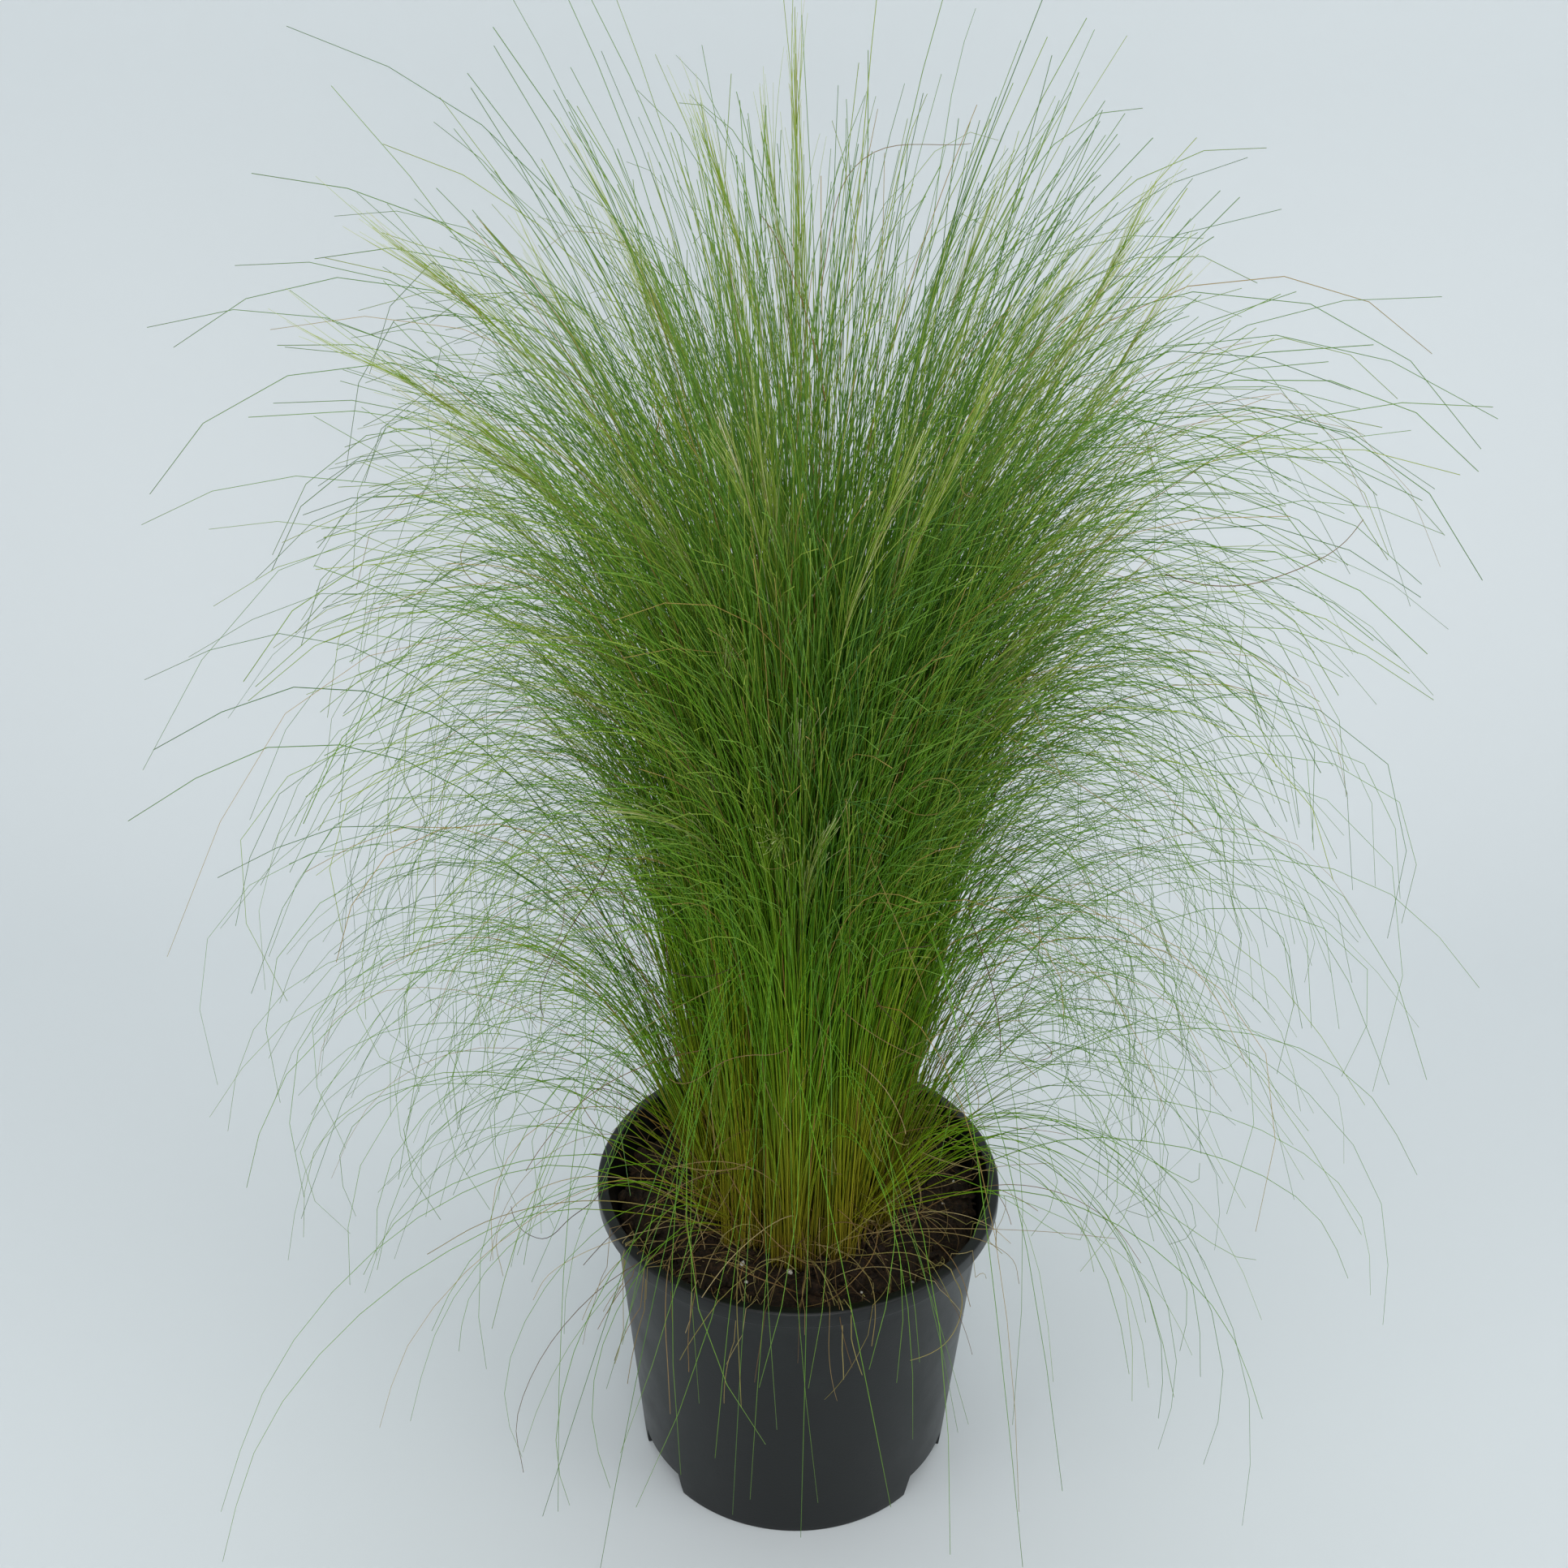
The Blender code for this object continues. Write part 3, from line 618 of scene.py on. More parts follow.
def nodding(draw, lines, outward, limp_share, usual):
    """Bend the upper part of each line outward, most of all where the leaf is limp."""
    count, steps = lines.shape[:2]
    limp = (draw.random(count) < limp_share) & (outward[:, 1] > NOT_LIMP_BEYOND)
    shared = draw.uniform(0, usual) * draw.uniform(0.6, 1.3, count)
    most = np.radians(np.where(limp, draw.uniform(*LIMP_BEND, count), shared))
    share = (np.arange(steps - 1) + 0.5) / (steps - 1)
    bend = most[:, None] * np.clip((share - NOD_START) / (1 - NOD_START), 0, 1) ** 1.5
    stretches = np.diff(lines, axis=1) * np.where(limp, LIMP_STRETCH, 1.0)[:, None, None]
    axis = np.stack([-outward[:, 1], outward[:, 0], 0 * outward[:, 0]], axis=1)
    stretches = turned(stretches, axis, bend)
    return np.concatenate([lines[:, :1], lines[:, :1] + np.cumsum(stretches, axis=1)], axis=1)


print(round(100 * LIMP_SHARE), "in a hundred upright leaves are limp")

# %% [markdown]
# ## One lock
#
# A habit holds how freely a kind of leaf may differ from its guide. Spread and swing are turns in degrees,
# about any axis and about the upright one. Shortest and longest are shares of the guide's length, droop is
# a share of it too, and nod is the most degrees by which a leaf that isn't limp bends outward.

# %% Copies of a guide
Habit = namedtuple("Habit", "spread swing shortest longest droop nod")
UPRIGHT = Habit(1.2, 5, 0.55, 1.05, 0.07, 26)
ARCHING = Habit(5.5, 17, 0.62, 1.05, 0.22, 85)
HANGING = ARCHING._replace(longest=1.3, nod=10)
ROOT_SCATTER = 2.8 * MM
ROOT_DEPTH = 4 * MM
STRAY_SHARE = 0.03
WAVE_SHARE = 0.008


def lock_of_leaves(draw, guide, count, limp_share=LIMP_SHARE):
    """Copies of one smooth guide, each with its own turn, length, curl and root."""
    habit = UPRIGHT
    if arches(guide):
        habit = HANGING if hangs(guide) else ARCHING
        limp_share = 0
    line = smooth_line(guide, LEAF_POINTS)
    root = line[0].copy()
    length = np.linalg.norm(line[-1] - root)
    shape = np.broadcast_to(line - root, (count, LEAF_POINTS, 3))
    upright = np.broadcast_to(UP, (count, 3))
    lines = turned(shape, random_axes(draw, count), np.radians(draw.normal(0, habit.spread, count)))
    lines = turned(lines, upright, np.radians(draw.normal(0, habit.swing, count)))
    lines = lines * draw.uniform(habit.shortest, habit.longest, (count, 1, 1))
    share = np.linspace(0, 1, LEAF_POINTS)[None, :, None]
    lines = lines + draw.normal(0, STRAY_SHARE, (count, 1, 3)) * length * share ** 2
    wave = np.sin(2 * math.pi * (share * draw.uniform(0.5, 1.4, (count, 1, 1)) + draw.random((count, 1, 1))))
    lines = lines + random_axes(draw, count)[:, None, :] * wave * WAVE_SHARE * length * share
    heading = math.atan2(line[-1][1], line[-1][0]) + draw.normal(0, 0.5) + draw.normal(0, 0.35, count)
    outward = np.stack([np.cos(heading), np.sin(heading), 0 * heading], axis=1)[:, None, :]
    bow = draw.uniform(0, habit.droop, (count, 1, 1)) * length
    lines = lines + bow * (outward * 0.6 * share ** 3 - UP * share ** 4)
    lines = nodding(draw, lines, outward[:, 0], limp_share, habit.nod)
    foot = draw.normal(0, ROOT_SCATTER, (count, 3))
    foot[:, 2] = 0
    return sink_roots(lines + (root + foot)[:, None, :])


def sink_roots(lines):
    """Carry each line on down from the crown into the peat."""
    foot = lines[:, :1].copy()
    drop = foot[:, :, 2:3] - (SOIL_LEVEL - ROOT_DEPTH)
    lean = (lines[:, 1:2] - lines[:, :1]) * np.array([1, 1, 0])
    middle = foot - np.concatenate([lean[..., :2] * 0.10, drop * 0.5], axis=-1)
    low = foot - np.concatenate([lean[..., :2] * 0.15, drop], axis=-1)
    low[..., :2] *= np.minimum(1, CLUMP_RADIUS / (np.hypot(low[..., 0], low[..., 1]) + 1e-9))[..., None]
    return np.concatenate([low, middle, lines], axis=1)


print("the upright leaves:", UPRIGHT)

# %% [markdown]
# ## Growing the leaves
#
# Leaves are drawn for a guide until enough of them keep clear of the pot and inside the box of the solids.
# At the front a few long leaves also bow over the rim and hang down before the pot. Each of these is
# a Bezier curve: it rises from its root, is drawn out over the rim and ends below it.

# %% Leaves that fit
BOX_SPARE = 14 * MM
MOST_TRIES = 6
HANGING_LEAVES = 2
FRONT_DEGREES = -88
HANGING_RISE = (120, 260)
HANGING_REACH = (12, 62)
HANGING_END = (4, 120)


def within_box(lines):
    """Say for each line whether it stays in the CAD box with a little to spare."""
    low = np.array(cad_box[0]) - BOX_SPARE
    high = np.array(cad_box[1]) + BOX_SPARE
    beside = ((lines[..., :2] > low[:2]) & (lines[..., :2] < high[:2])).all(axis=(1, 2))
    return beside & (lines[..., 2] < high[2]).all(axis=1)


def lock_that_fits(draw, guide, count):
    """Draw leaves until enough of them keep clear of the pot and inside the box."""
    kept = []
    missing = count
    for _ in range(MOST_TRIES):
        lines = lock_of_leaves(draw, guide, missing * 2)
        dense = np.concatenate([lines[:, 3:], (lines[:, 3:-1] + lines[:, 4:]) / 2], axis=1)
        lines = lines[~hits_pot(dense) & within_box(lines)][:missing]
        kept.append(lines)
        missing -= len(lines)
        if missing <= 0:
            break
    return np.concatenate(kept)


def hanging_leaves(draw, root, count):
    """Long limp leaves that rise from a root, bow over the front of the rim and hang down before the pot."""
    heading = np.radians(draw.normal(FRONT_DEGREES, 30, count))
    away = np.stack([np.cos(heading), np.sin(heading), 0 * heading], axis=1)[:, None, :]
    rise = draw.uniform(*HANGING_RISE, (count, 1, 1)) * MM
    reach = RIM_RADIUS + draw.uniform(*HANGING_REACH, (count, 1, 1)) * MM
    first = root + UP * rise + away * 15 * MM
    aside = np.stack([draw.normal(0, 26 * MM, count), 0 * heading, 0 * heading], axis=1)[:, None, :]
    second = away * reach * 0.96 + UP * (SOIL_LEVEL + rise * 1.25) - aside
    end = away * reach + UP * draw.uniform(*HANGING_END, (count, 1, 1)) * MM + aside
    share = np.linspace(0, 1, LEAF_POINTS)[None, :, None]
    rest = 1 - share
    lines = root * rest ** 3 + 3 * first * share * rest ** 2
    lines = lines + 3 * second * share ** 2 * rest + end * share ** 3
    lines = sink_roots(lines)
    return lines[~hits_pot(lines[:, 3:]) & within_box(lines)]


print("leaves may pass the solids' box by", round(BOX_SPARE / MM), "mm")

# %% Fine leaves
ARCHING_SIZE = 0.72
HANGING_SIZE = 0.9
LOCK_TONE = 0.72
LEAF_TONE = 0.2
DARKER_ARCHES = 0.75

draw = np.random.default_rng(12)
total = 0
for node in TUFTS:
    locks = [lock_that_fits(draw, guide, leaves_round(guide)) for guide in guides[node]]
    fineness = [ARCHING_SIZE if arches(guide) else 1.0 for guide in guides[node]]
    root = np.mean([guide[0] for guide in guides[node]], axis=0)
    if root[1] < 0:
        locks.append(hanging_leaves(draw, root, HANGING_LEAVES))
        fineness.append(HANGING_SIZE)
    kept = [len(lock) for lock in locks]
    leaves = np.concatenate(locks)
    fine = np.repeat(fineness, kept)
    lock_tone = np.repeat(draw.random(len(locks)), kept)
    tones = LOCK_TONE * lock_tone + LEAF_TONE * draw.random(len(leaves))
    tones = tones * np.where(fine < 1, DARKER_ARCHES, 1.0)
    tones[draw.random(len(leaves)) < WITHERED_SHARE] = WITHERED_TONE
    size = draw.uniform(0.75, 1.15, len(leaves)) * fine
    thread_mesh(node.replace("tuft", "leaves"), leaves, LEAF_ROOT_RADIUS * size, LEAF_TIP_RADIUS * size,
                tones, LEAF, [node])
    total += len(leaves)
print(total, "fine leaves")

# %% [markdown]
# ## The flower heads
#
# A flower head is a slender axis with short stalks, each ending in a grain with one long silky awn.
# The awns all sweep up along the axis and spread a little, which makes the soft, narrow plume.
# The solid stem and the axis of its solid head give one line. That line is copied like a lock of leaves,
# and each copy is a flowering stem whose last tenth of a metre carries awns, which are threads again.

# %% Flowering stems and their awns
PLUME_POINTS = 10
PLUME_LENGTH = 115 * MM
END_SLICE = 1.5 * MM
GOLDEN_ANGLE = 2.4


def head_ends(node):
    """The lowest and the highest point of a head's axis, read from its solid."""
    points = points_and_neighbours(node)[0]
    centre = points.mean(0)
    direction = np.linalg.svd(points - centre)[2][0]
    direction = direction * (1 if direction[2] > 0 else -1)
    reach = (points - centre) @ direction
    low = points[reach < reach.min() + END_SLICE].mean(0)
    high = points[reach > reach.max() - END_SLICE].mean(0)
    return low, high


def flowering_line(node):
    """The guide whose tip meets the head, carried on to the end of the head."""
    low, high = head_ends(node)
    every_guide = [guide for lines in guides.values() for guide in lines]
    stem = min(every_guide, key=lambda guide: np.linalg.norm(guide[-1] - low))
    return np.vstack([stem, (low + high) / 2, high])


def along_line(line, distances):
    """Points at these distances along a line, which goes on straight beyond its end."""
    steps = np.linalg.norm(np.diff(line, axis=0), axis=1)
    reached = np.concatenate([[0], np.cumsum(steps)])
    last = (line[-1] - line[-3]) / np.linalg.norm(line[-1] - line[-3])
    points = np.stack([np.interp(distances, reached, line[:, k]) for k in range(3)], axis=1)
    return points + last * np.maximum(0, distances - reached[-1])[:, None]


def plume_threads(draw, line, count):
    """Awns that leave the last part of a flowering stem and sweep on along it."""
    total = np.linalg.norm(np.diff(line, axis=0), axis=1).sum()
    ahead = line[-1] - line[-4]
    side = np.cross(ahead / np.linalg.norm(ahead), [0.0, 1.0, 0.1])
    side /= np.linalg.norm(side)
    across = np.cross(ahead / np.linalg.norm(ahead), side)
    share = np.linspace(0, 1, PLUME_POINTS)
    threads = []
    for n in range(count):
        start = draw.uniform(-0.05, 0.80)
        reach = draw.uniform(0.30, 0.58) * PLUME_LENGTH * (1.15 - 0.4 * start)
        turn = n * GOLDEN_ANGLE + draw.normal(0, 0.4)
        out = side * math.cos(turn) + across * math.sin(turn)
        middle = along_line(line, total - PLUME_LENGTH * (1 - start) + reach * share)
        spread = reach * draw.uniform(0.02, 0.12) * share ** 0.8
        curl = draw.normal(0, 0.05, 3) * reach
        threads.append(middle + out * spread[:, None] + curl * share[:, None] ** 2)
    return np.array(threads)


print("a plume is", round(PLUME_LENGTH / MM), "mm long")

# %% Silky plumes
PLUMES_PER_HEAD = 4
AWNS_PER_PLUME = 36
STEM_RADIUS = 0.34 * MM
AWN_RADIUS = 0.15 * MM

for node in HEADS:
    stems = lock_of_leaves(draw, flowering_line(node), PLUMES_PER_HEAD * 6, 0)
    stems = stems[~hits_pot(stems[:, 3:]) & within_box(stems)][:PLUMES_PER_HEAD]
    awns = np.concatenate([plume_threads(draw, stem, AWNS_PER_PLUME) for stem in stems])
    awns = awns[within_box(awns)]
    threads = np.concatenate([np.array([even_points(stem, PLUME_POINTS) for stem in stems]), awns])
    radius = np.concatenate([np.full(len(stems), STEM_RADIUS), np.full(len(awns), AWN_RADIUS)])
    thread_mesh(node.replace("panicle", "plumes"), threads, radius, radius * 0.5, draw.random(len(threads)),
                PLUME, [node])
print(len(HEADS), "groups of plumes")

# %% [markdown]
# ## The dead leaves
#
# Old leaves dry, curl and fall limp over the peat, the rim and the feet of the green leaves.
# Each starts near a bunch's solid with a random heading. A slow random turn at each step curls it,
# and gravity bends it down until it rests on what is below.

# %% Curled dry leaves
CURL_POINTS = 24
CURLS_IN_A_BUNCH = 20


def curled_leaves(draw, count, centre, spread, length, curl=1.0, lift=(0.1, 1.0), sag=0.10):
    """Limp lines that start round a point, wander with a curl and come to rest."""
    start = np.asarray(centre) + draw.normal(0, 1, (count, 3)) * spread
    outward = start * np.array([1, 1, 0])
    outward /= np.linalg.norm(outward, axis=1, keepdims=True) + 1e-9
    heading = outward * draw.uniform(0.0, 1.0, (count, 1)) + draw.normal(0, 0.45, (count, 3))
    heading[:, 2] = draw.uniform(*lift, count)
    heading = unit(heading)
    bend_axis = random_axes(draw, count)
    bend = draw.normal(0, 0.16 * curl, count)
    step = (draw.uniform(*length, count) / CURL_POINTS)[:, None]
    points = [start]
    for _ in range(CURL_POINTS - 1):
        heading = turned(heading[:, None, :], bend_axis, bend)[:, 0]
        bend_axis = unit(bend_axis + draw.normal(0, 0.25, (count, 3)))
        heading[:, 2] -= sag
        heading = unit(heading)
        points.append(points[-1] + heading * step)
    return rest_on_pot(np.stack(points, axis=1))


def add_dead_leaves(name, lines, replaced=()):
    """Make one piece of dry leaves, each with its own thickness and tone."""
    radius = draw.uniform(0.18, 0.33, len(lines)) * MM
    thread_mesh(name, lines, radius, radius * 0.6, draw.random(len(lines)), DRY, replaced)


total = 0
for node in BUNCHES:
    own = [smooth_line(guide, CURL_POINTS) for guide in stem_lines(node)]
    foot = np.mean([line[0] for line in own], axis=0)
    curls = curled_leaves(draw, CURLS_IN_A_BUNCH, foot, (9 * MM, 9 * MM, 2 * MM), (0.03, 0.09))
    lines = np.concatenate([rest_on_pot(np.array(own)), curls])
    add_dead_leaves(node.replace("dead_leaves", "dry_curls"), lines, [node])
    total += len(lines)
print(total, "dry curls in bunches")

# %% Dry leaves within the clump
tangle = curled_leaves(draw, 150, (0, 0, SOIL_LEVEL + 12 * MM), (26 * MM, 26 * MM, 10 * MM),
                       (0.05, 0.15), curl=1.2, lift=(0.2, 1.4), sag=0.06)
add_dead_leaves("dry_tangle_at_the_base", tangle)
strays = curled_leaves(draw, 110, (0, -8 * MM, SOIL_LEVEL + 190 * MM), (36 * MM, 30 * MM, 85 * MM),
                       (0.05, 0.13), curl=1.5, lift=(-0.4, 1.0), sag=0.04)
add_dead_leaves("dry_strays_in_the_leaves", strays)
print(len(tangle) + len(strays), "dry leaves caught in the clump")

# %% [markdown]
# ## The pot
#
# The pot is a thin shell with a turned-down band round its rim, and the band's edges are rounded.
# A profile turned round the axis makes it. Three notches are then cut in its foot, so that water can drain.

# %% Turned shell
POT_SIDES = 160


def arc_points(centre, radius, start, end, count):
    """Points of a round edge in the profile, between two angles in degrees."""
    turns = [math.radians(start + (end - start) * i / (count - 1)) for i in range(count)]
    return [(centre[0] + radius * math.cos(a), centre[1] + radius * math.sin(a)) for a in turns]


def pot_profile():
    """Radius and height of the shell's outline, from the floor's middle outside to its middle inside."""
    under = POT_HEIGHT - RIM_BAND
    lip = 1.6 * MM
    floor = 4 * MM
    inner_top = RIM_RADIUS - lip - 3.6 * MM
    points = [(0, floor), (wall_radius(floor) - 3 * MM, floor), (BASE_RADIUS - 2.6 * MM, 0.3 * MM)]
    points += [(BASE_RADIUS - 2.2 * MM, 0), (BASE_RADIUS - 0.8 * MM, 0)]
    points += arc_points((BASE_RADIUS - 0.8 * MM, 0.8 * MM), 0.8 * MM, -80, 0, 4)
    points += [(wall_radius(z), z) for z in np.linspace(4 * MM, under - 1 * MM, 14)]
    points += [(wall_radius(under) + 1.0 * MM, under + 1.6 * MM), (RIM_RADIUS - lip, under + 3.0 * MM)]
    points += [(RIM_RADIUS - lip, under + 0.3 * MM), (RIM_RADIUS - lip + 0.3 * MM, under)]
    points += arc_points((RIM_RADIUS - 0.5 * MM, under + 0.5 * MM), 0.5 * MM, -90, 0, 4)
    points += arc_points((RIM_RADIUS - 1.4 * MM, POT_HEIGHT - 1.4 * MM), 1.4 * MM, 0, 90, 6)
    points += arc_points((inner_top + 1.2 * MM, POT_HEIGHT - 1.2 * MM), 1.2 * MM, 90, 180, 5)
    points += [(wall_radius(under) - WALL - 0.3 * MM, under - 2 * MM)]
    points += [(wall_radius(z) - WALL, z) for z in np.linspace(under - 8 * MM, 12 * MM, 8)]
    points += [(wall_radius(floor) - WALL - 2 * MM, floor + 1.6 * MM), (0, floor + 1.6 * MM)]
    return points


def at_angle(radius, angle, z):
    """A point at an angle round the pot's axis."""
    return radius * math.cos(angle), radius * math.sin(angle), z


def join_rings(bm, lower, upper):
    """Faces between two rings of points, where one ring may be a single point."""
    sides = max(len(lower), len(upper))
    for i in range(sides):
        j = (i + 1) % sides
        if len(lower) == 1:
            bm.faces.new((lower[0], upper[j], upper[i]))
        elif len(upper) == 1:
            bm.faces.new((lower[i], lower[j], upper[0]))
        else:
            bm.faces.new((lower[i], lower[j], upper[j], upper[i]))


def turned_mesh(name, profile, sides, material):
    """Turn a profile that starts and ends on the axis."""
    bm = bmesh.new()
    rings = []
    for radius, z in profile:
        turns = [2 * math.pi * i / sides for i in range(sides)] if radius > 0 else [0]
        rings.append([bm.verts.new(at_angle(radius, a, z)) for a in turns])
    for lower, upper in zip(rings, rings[1:]):
        join_rings(bm, lower, upper)
    bmesh.ops.recalc_face_normals(bm, faces=bm.faces[:])
    mesh = mesh_from(bm, name)
    mesh.materials.append(material)
    return add_object(name, mesh)


print("the shell's outline has", len(pot_profile()), "points")

# %% Notches and drain holes
DRAIN_PLACE = 45 * MM
DRAIN_RADIUS = 5 * MM
DRAIN_SIDES = 24


def cut(piece, corner_sets):
    """Cut closed blocks, each given as loops of points, out of the piece."""
    bm = bmesh.new()
    for loops in corner_sets:
        made = [[bm.verts.new(p) for p in loop] for loop in loops]
        for lower, upper in zip(made, made[1:]):
            join_rings(bm, lower, upper)
        bm.faces.new(made[0][::-1])
        bm.faces.new(made[-1])
    bmesh.ops.recalc_face_normals(bm, faces=bm.faces[:])
    cutter = add_object("cutter", mesh_from(bm, "cutter"))
    modifier = piece.modifiers.new("Cut", "BOOLEAN")
    modifier.operation = "DIFFERENCE"
    modifier.solver = "EXACT"
    modifier.object = cutter
    graph = bpy.context.evaluated_depsgraph_get()
    result = bpy.data.meshes.new_from_object(piece.evaluated_get(graph))
    piece.modifiers.clear()
    piece.data = result
    bpy.data.objects.remove(cutter, do_unlink=True)


def notch_loops(angle):
    """A wedge of the pot's foot, with ends that slope in towards its top."""
    half = math.radians(NOTCH_WIDTH_DEGREES) / 2
    slope = math.radians(2.5)
    inner, outer, below = 66 * MM, 90 * MM, -2 * MM
    loops = []
    for i in range(13):
        share = -1 + 2 * i / 12
        low, high = (math.radians(angle) + share * h for h in (half, half - slope))
        loops.append([at_angle(inner, low, below), at_angle(outer, low, below),
                      at_angle(outer, high, NOTCH_HEIGHT), at_angle(inner, high, NOTCH_HEIGHT)])
    return loops


def drain_loops(angle):
    """A round rod through the pot's floor."""
    x, y, _ = at_angle(DRAIN_PLACE, angle, 0)
    turns = [2 * math.pi * i / DRAIN_SIDES for i in range(DRAIN_SIDES)]
    ring = [(x + DRAIN_RADIUS * math.cos(a), y + DRAIN_RADIUS * math.sin(a)) for a in turns]
    return [[(*point, z) for point in ring] for z in (-2 * MM, 10 * MM)]


pot = turned_mesh("nursery_pot", pot_profile(), POT_SIDES, PLASTIC)
notches = [notch_loops(angle) for angle in NOTCH_ANGLES]
drains = [drain_loops(math.radians(angle + 60)) for angle in NOTCH_ANGLES]
cut(pot, notches + drains)
pot.data.shade_smooth()
pot.data.set_sharp_from_angle(angle=math.radians(35))
dress(pot, ["pot"])
print("pot has", len(pot.data.polygons), "faces")

# %% [markdown]
# ## The peat
#
# The peat fills the pot to a little under the rim. Its top is rough with crumbs of many sizes.
# The main body is a turned solid whose top points are moved up and down by layers of noise.
# Loose crumbs are scattered over it, each a small ball of twenty faces pulled out of shape.

# %% Body of peat
def rough(x, y, size, depth, seed=0.0):
    """Layered noise for lumps of about one size, in metres."""
    return depth * noise.fractal(Vector((x / size, y / size, seed)), 0.9, 2.1, 3)


def lumpy(x, y):
    """Height of the peat with its slow swells and its coarse lumps."""
    return float(soil_height(x, y)) + rough(x, y, 9 * MM, 1.6 * MM)


def peat_body():
    """A turned solid that fills the pot, with a rough top."""
    gap = 1.0 * MM
    top_radius = wall_radius(SOIL_LEVEL - 6 * MM) - WALL - gap
    profile = [(0, 6.0 * MM), (wall_radius(4 * MM) - WALL - 3.2 * MM, 6.0 * MM)]
    profile += [(wall_radius(14 * MM) - WALL - gap, 14 * MM), (top_radius, SOIL_LEVEL - 6 * MM)]
    profile += [(top_radius * (1 - k / 64), SOIL_LEVEL) for k in range(1, 64)] + [(0, SOIL_LEVEL)]
    body = turned_mesh("peat_body", profile, 180, PEAT)
    for point in body.data.vertices:
        x, y, z = point.co
        if z > SOIL_LEVEL - 1 * MM:
            point.co.z = lumpy(x, y) + rough(x, y, 3 * MM, 0.8 * MM, 5.0)
    body.data.shade_smooth()
    return dress(body, ["growing_medium"])


print("peat has", len(peat_body().data.vertices), "points")


# %% Crumbs of peat and grains of perlite
def scattered_lumps(name, count, sizes, material, seed, inner=0.0):
    """Loose lumps on the peat, joined in one mesh."""
    rng = np.random.default_rng(seed)
    ball = bmesh.new()
    bmesh.ops.create_icosphere(ball, subdivisions=1, radius=1.0)
    shape = np.array([v.co for v in ball.verts])
    faces = np.array([[v.index for v in f.verts] for f in ball.faces])
    ball.free()
    spots = []
    while len(spots) < count:
        x, y = rng.uniform(-86 * MM, 86 * MM, 2)
        if inner < math.hypot(x, y) < 84.5 * MM:
            spots.append((x, y))
    points, triangles = [], []
    for n, (x, y) in enumerate(spots):
        size = sizes[0] + (sizes[1] - sizes[0]) * rng.random() ** 2.5
        stretch = rng.uniform(0.6, 1.4, 3)
        lump = shape * rng.uniform(0.7, 1.25, (len(shape), 1)) * stretch * size / 2
        turn = np.array(Matrix.Rotation(rng.uniform(0, 6.28), 3, Vector(rng.normal(size=3)).normalized()))
        height = lumpy(x, y) + size * 0.12
        points.append(lump @ turn.T + np.array([x, y, height]))
        triangles.append(faces + n * len(shape))
    piece = add_mesh(name, np.concatenate(points), np.zeros((0, 4), int), np.concatenate(triangles), material)
    piece.data.set_sharp_from_angle(angle=math.radians(40))
    return dress(piece)


scattered_lumps("peat_crumbs", 1500, (1.2 * MM, 7 * MM), PEAT, 3)
scattered_lumps("perlite_grains", 16, (1.6 * MM, 3.2 * MM), PERLITE, 4, 48 * MM)
print("peat and crumbs made")

# %% [markdown]
# ## The stage
#
# The floor is one plain pale sheet that curves up behind the plant, as a photographer's paper does.
# The curve hides the corner between floor and wall. A camera behind the paper sees through its back,
# so that the back of the plant can be looked at too. For light the paper stays whole.

# %% Sweep of paper
def paper_sweep():
    """A sheet that lies flat under the plant and curves up behind it."""
    material, shader = new_material("matt_background_paper", Roughness=0.9)
    shader.inputs["Base Color"].default_value = linear("#DAE0E3")
    behind = add_node(material, "NewGeometry").outputs["Backfacing"]
    seen = add_node(material, "LightPath").outputs["Is Camera Ray"]
    both = add_node(material, "Math", {"operation": "MULTIPLY"}, _0=behind, _1=seen)
    clear = add_node(material, "BsdfTransparent")
    mix = add_node(material, "MixShader", _0=both.outputs[0], _1=shader.outputs[0], _2=clear.outputs[0])
    link(material, mix.outputs[0], material.node_tree.nodes["Material Output"].inputs["Surface"])
    half_width, front, back, bend, height = 4.0, -4.0, 0.42, 0.5, 4.5
    outline = [(front, 0.0), (back, 0.0)]
    turns = np.linspace(0.1, math.pi / 2, 16)
    outline += [(back + bend * math.sin(a), bend - bend * math.cos(a)) for a in turns]
    outline.append((back + bend, height))
    bm = bmesh.new()
    rows = [[bm.verts.new((x, y, z)) for x in (-half_width, half_width)] for y, z in outline]
    for lower, upper in zip(rows, rows[1:]):
        bm.faces.new((lower[0], lower[1], upper[1], upper[0]))
    mesh = mesh_from(bm, "paper_sweep")
    mesh.shade_smooth()
    mesh.materials.append(material)
    sweep = add_object("paper_sweep", mesh)


paper_sweep()
print("paper laid")

# %% [markdown]
# ## The light
#
# Soft light from large panels above and from the front keeps the shadows faint. Two smaller panels
# at the sides and a pale world light what these leave dark.

# %% Lamps and world
def soft_panel(name, place, target, size, power):
    """A square area lamp that looks at its target."""
    lamp = bpy.data.lights.new(name, "AREA")
    lamp.shape = "SQUARE"
    lamp.size = size
    lamp.energy = power
    panel = add_object(name, lamp)
    panel.location = place
    panel.rotation_euler = (Vector(target) - Vector(place)).to_track_quat("-Z", "Y").to_euler()


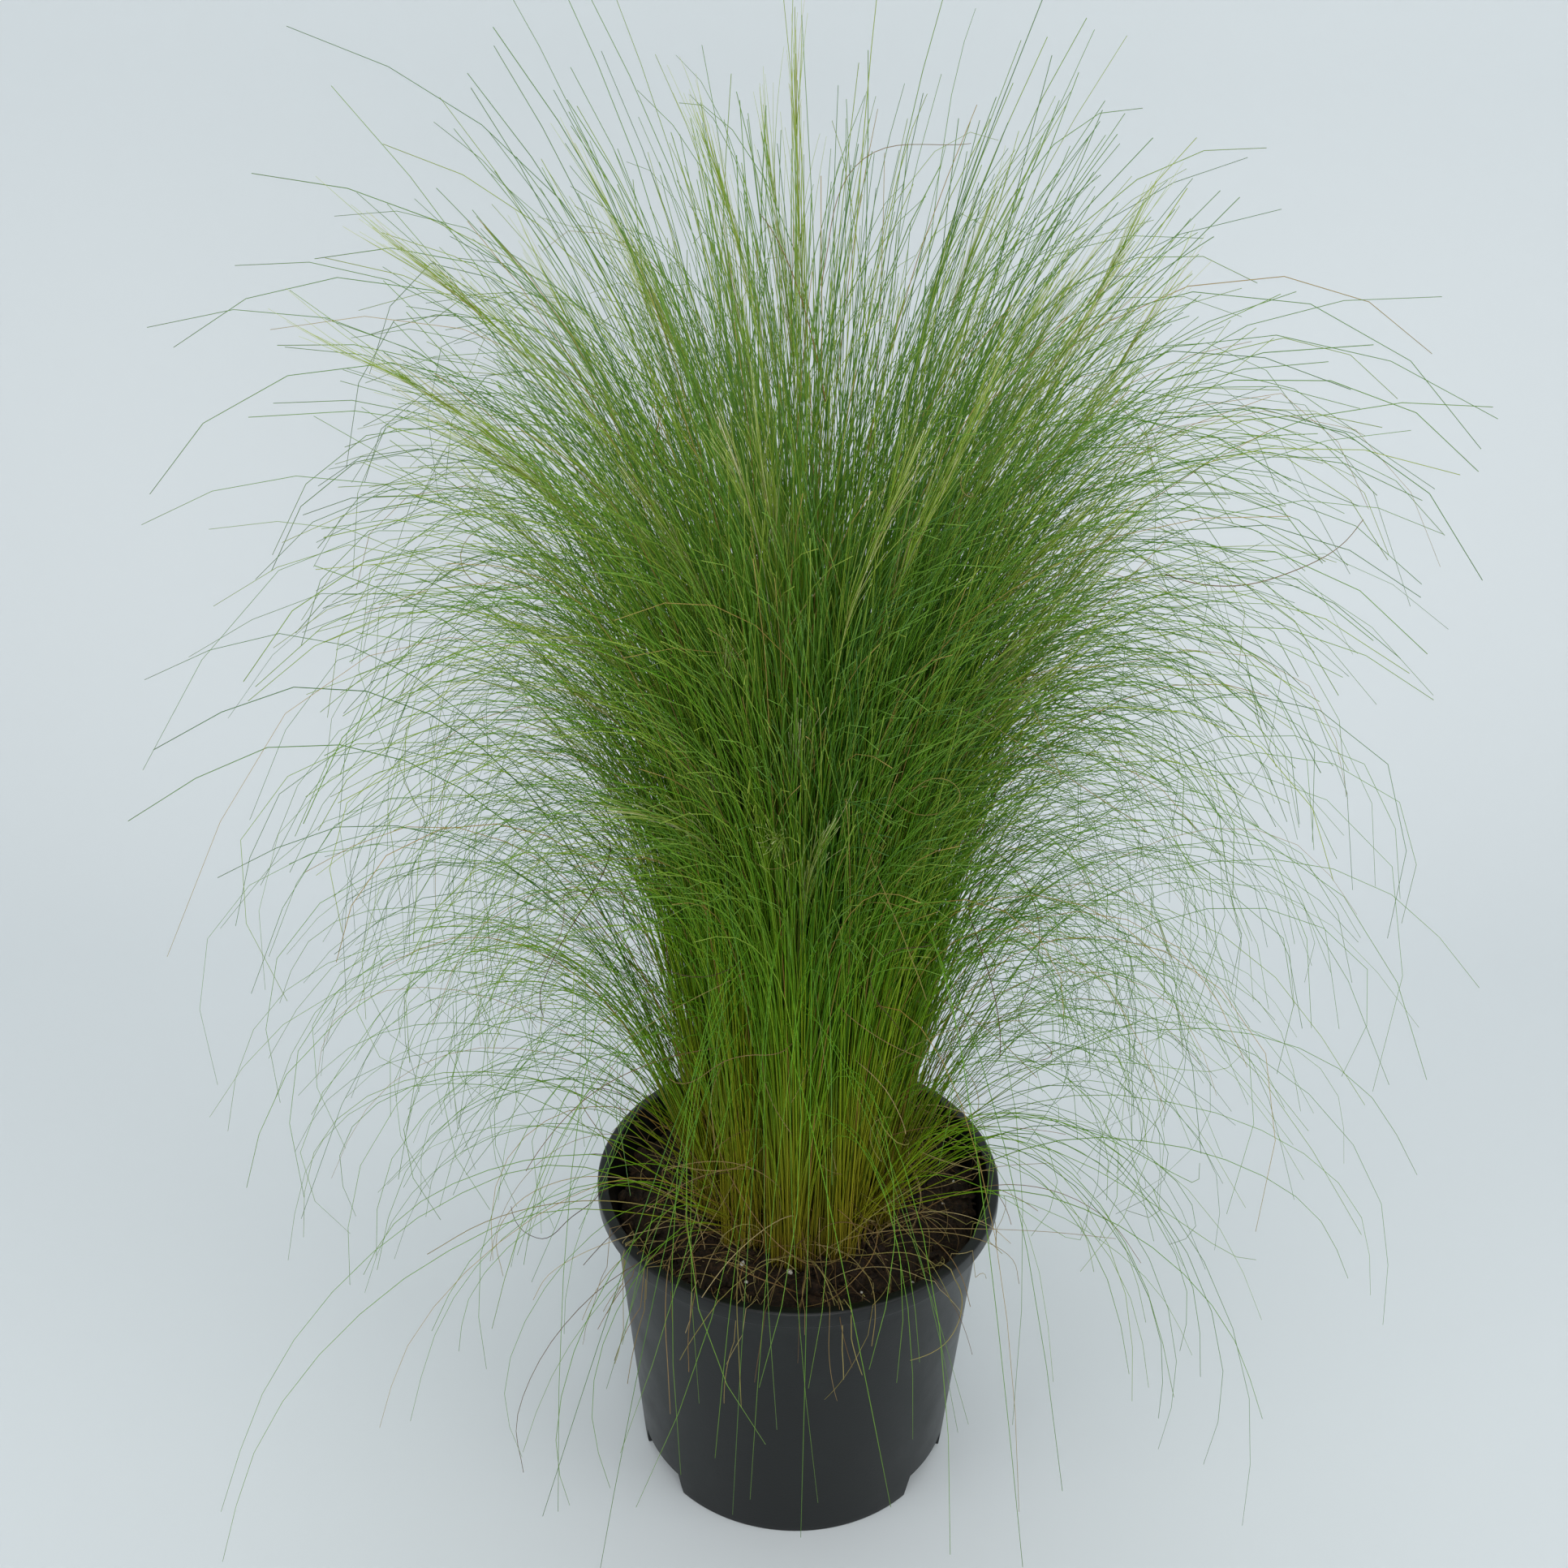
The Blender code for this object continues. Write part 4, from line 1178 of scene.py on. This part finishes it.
soft_panel("overhead_panel", (0.1, -0.3, 2.4), (0, 0, 0.3), 2.2, 18)
soft_panel("left_panel", (-1.9, -1.2, 1.5), (0, 0, 0.3), 1.4, 10)
soft_panel("right_panel", (1.9, -1.0, 1.3), (0, 0, 0.3), 1.4, 10)
soft_panel("front_panel", (0.2, -2.4, 1.1), (0, 0, 0.4), 1.6, 24)
world = bpy.data.worlds.new("studio")
world.use_nodes = True
world.node_tree.nodes["Background"].inputs["Color"].default_value = linear("#EAEFF1")
world.node_tree.nodes["Background"].inputs["Strength"].default_value = 0.42
bpy.context.scene.world = world
bpy.context.scene.view_settings.view_transform = "Standard"
print("lamps and world set")

# %% [markdown]
# ## The camera
#
# The camera stands in front of the plant and looks down on it by about 29 degrees, from about 1.1 m away.
# Its place and its turn were worked out from the pot's rim and foot, which show as two ellipses.

# %% Camera
CAMERA_PLACE = (-0.0155, -0.7549, 0.7825)
LOOK_DOWN_DEGREES = 28.81
TURN_RIGHT_DEGREES = 0.46
ROLL_DEGREES = 0.83
FOCAL_LENGTH_MM = 46.58


def place_camera():
    """Set the camera down with its pitch, yaw and roll."""
    camera_data = bpy.data.cameras.new("photographer")
    camera_data.sensor_width = 36.0
    camera_data.lens = FOCAL_LENGTH_MM
    camera_data.clip_start = 0.01
    camera = add_object("photographer", camera_data)
    pitch, yaw, roll = (math.radians(a) for a in (LOOK_DOWN_DEGREES, TURN_RIGHT_DEGREES, ROLL_DEGREES))
    ahead = Vector((math.sin(yaw) * math.cos(pitch), math.cos(yaw) * math.cos(pitch), -math.sin(pitch)))
    right = Vector((math.cos(yaw), -math.sin(yaw), 0))
    up = right.cross(ahead)
    right, up = (right * math.cos(roll) + up * math.sin(roll), up * math.cos(roll) - right * math.sin(roll))
    turn = Matrix((right, up, -ahead)).transposed()
    camera.matrix_world = Matrix.Translation(CAMERA_PLACE) @ turn.to_4x4()
    bpy.context.scene.camera = camera


place_camera()
print("camera looks down by", LOOK_DOWN_DEGREES, "degrees")

# %% [markdown]
# ## Finish
#
# The view layer is brought up to date, so that every piece stands where it was put.

# %% Finish
bpy.context.view_layer.update()
